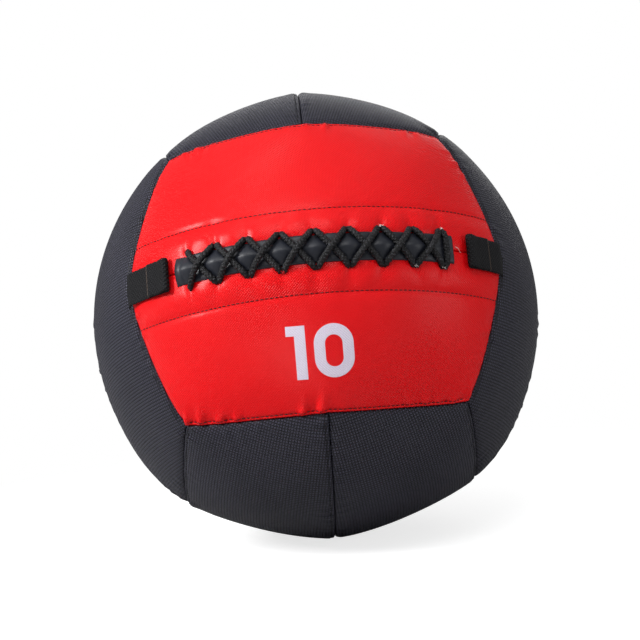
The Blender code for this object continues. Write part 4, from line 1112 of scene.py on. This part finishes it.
def on_pouch(u, v):
    """Round the pouch by the first share, and from the top of its neck to its foot by the second."""
    turn = 2 * math.pi * (u % 1.0)
    profile = [
        (NECK_RADIUS + NECK_FLARE, NECK_FOOT + NECK_LENGTH), (NECK_RADIUS, NECK_FOOT + 0.6 * NECK_LENGTH),
        (NECK_RADIUS * 0.97, NECK_FOOT + 0.3 * NECK_LENGTH),
    ]
    angles = np.linspace(math.asin(NECK_RADIUS / POUCH_RADIUS), math.pi, 40)
    profile += [(POUCH_RADIUS * math.sin(angle), POUCH_RADIUS * math.cos(angle)) for angle in angles]
    profile = np.array(profile)
    radius, level = at_lengths(profile, v * run_length(profile)[-1]).T
    gather = np.clip((level - 0.030) / 0.020, 0, 1) * np.clip(radius / 0.013, 0, 1)
    radius = radius - 0.0005 * gather * (1 - np.cos(14 * turn)) * (radius > 1e-5)
    radius = np.where(v > 1 - 1e-6, 0, radius)
    return np.stack([radius * np.cos(turn), radius * np.sin(turn), level], axis=-1)


mesh = grid_mesh(112, 60, on_pouch)
bmesh.ops.remove_doubles(mesh, verts=mesh.verts, dist=0.000002)
bmesh.ops.recalc_face_normals(mesh, faces=mesh.faces)
if min(mesh.faces, key=lambda face: face.calc_center_median().z).normal.z > 0:
    bmesh.ops.reverse_faces(mesh, faces=mesh.faces)
piece = piece_from(
    "gathered_weight_pouch", in_world(mesh), LINING, "ball", "lining_cloth", ["weight_pouch"],
    lambda uv, co: uv * (0.29, 0.16),
)
thicken(piece, POUCH_WALL)

turns = np.linspace(0, 2 * math.pi, 150)
tie_level = np.full(150, NECK_FOOT + 0.35 * NECK_LENGTH)
ring = np.stack([TIE_RADIUS * np.cos(turns), TIE_RADIUS * np.sin(turns), tie_level], axis=1)
piece_from(
    "corded_pouch_tie", swept(ring, 16, braided(0.0005, TIE_CORD)), CORD_LOOK, "ball", "black_cord", ["pouch_tie"],
    lambda uv, co: uv * (0.074, math.pi * 0.003),
)


# Iron sand: dark grey broken grains with a dull metallic glint, drawn 0.9 mm across so that they show.
def iron_grains(name):
    look, tree = new_material(name)
    space = add(tree, "TexCoord", output="Object")
    grains = add(tree, "TexVoronoi", {"Vector": space, "Scale": 1100.0})
    surface(tree, "#4D4A47", [(grains, "#33302E")], {"Roughness": 0.6, "Metallic": 0.6}, grains, 0.9, 0.0005)
    return look


def sand_radius(directions):
    """The load's lumpy round form, level at its top."""
    return np.minimum(SAND_RADIUS + 0.0003 * lumps(directions, 30, 8), SAND_TOP / np.maximum(directions[:, 2], 0.3))


mesh = in_world(put_out(round_mesh(6), sand_radius))
piece_from("iron_sand_load", mesh, iron_grains("loose iron sand"), "ball", "iron_sand", ["iron_sand"])

# Camera, lights and floor: the photograph's view, with soft light from above and from both sides.
CAMERA_DISTANCE = 8 * BALL_RADIUS
AZIMUTH, ELEVATION, ROLL = math.radians(1.043), math.radians(-4.566), math.radians(-4.767)
forward = Vector((
    math.sin(AZIMUTH) * math.cos(ELEVATION), math.cos(AZIMUTH) * math.cos(ELEVATION), math.sin(ELEVATION)
))
level = Vector((math.cos(AZIMUTH), -math.sin(AZIMUTH), 0))
head = level.cross(forward)
rightwards = math.cos(ROLL) * level + math.sin(ROLL) * head
upwards = -math.sin(ROLL) * level + math.cos(ROLL) * head
lens = bpy.data.cameras.new("camera")
lens.lens, lens.sensor_width = 97.73, 36
lens.shift_x, lens.shift_y = 0.00647, -0.00664
camera = placed("camera", lens)
axes = Matrix((rightwards, upwards, -forward)).transposed().to_4x4()
camera.matrix_world = Matrix.Translation(Vector(BALL_CENTRE) - CAMERA_DISTANCE * forward) @ axes
bpy.context.scene.camera = camera

for name, place, size, power in (
    ("overhead", (-0.3, -1.25, 1.7), (1.2, 0.9), 16.5), ("left_softbox", (-1.35, -0.6, 1.0), (0.36, 0.5), 26),
    ("right_fill", (1.7, -0.9, 0.3), (0.9, 1.1), 9), ("back_fill", (0.3, 1.8, 0.9), (1.4, 1.0), 8),
):
    lamp = bpy.data.lights.new(name, "AREA")
    lamp.shape = "RECTANGLE"
    lamp.size, lamp.size_y = size
    lamp.energy = power
    made = placed(name, lamp)
    made.location = place
    made.rotation_euler = (Vector(BALL_CENTRE) - Vector(place)).to_track_quat("-Z", "Y").to_euler()

# The studio is brighter overhead than round its walls, and plain white to the camera
WHITE = (1, 1, 1, 1)
studio = bpy.data.worlds.new("studio")
studio.use_nodes = True
bpy.context.scene.world = studio
tree = studio.node_tree
tree.nodes.clear()
seen = [add(tree, "LightPath", output=f"Is {kind} Ray") for kind in ("Camera", "Transmission")]
skyward = add(tree, "SeparateXYZ", {"Vector": add(tree, "TexCoord", output="Generated")}, "Z")
walls = add(tree, "MapRange", {"Value": skyward, "To Min": 0.2, "To Max": 0.56})
seen = add(tree, "Math", dict(enumerate(seen)), operation="MAXIMUM")
strength = add(tree, "MapRange", {"Value": seen, "To Min": walls, "To Max": 1.0})
add(tree, "OutputWorld", {"Surface": add(tree, "Background", {"Color": WHITE, "Strength": strength})})

# The floor is white paper. To the camera it is lit near the object, which keeps its shadow, and plain white
# further out.
mesh = bmesh.new()
bmesh.ops.create_grid(mesh, x_segments=1, y_segments=1, size=4)
data = mesh_data("floor", mesh)
floor = placed("floor", data)
paper, tree = new_material("white paper floor")
near = {
    0: add(tree, "BsdfDiffuse", {"Color": linear("#C8C8C8")}),
    1: add(tree, "Emission", {"Color": WHITE, "Strength": 0.74}),
}
away = add(tree, "VectorMath", {0: add(tree, "TexCoord", output="Object")}, operation="LENGTH")
out = add(tree, "MapRange", {"Value": away, "From Min": 0.16, "From Max": 0.5})
white = add(tree, "Emission", {"Color": WHITE, "Strength": 1.0})
seen = add(tree, "MixShader", {0: out, 1: add(tree, "AddShader", near), 2: white})
tint = add(tree, "BsdfDiffuse", {"Color": linear("#B0B0B0")})
mixed = add(tree, "MixShader", {0: add(tree, "LightPath", output="Is Camera Ray"), 1: tint, 2: seen})
add(tree, "OutputMaterial", {"Surface": mixed})
data.materials.append(paper)

bpy.context.scene.view_settings.view_transform = "Standard"
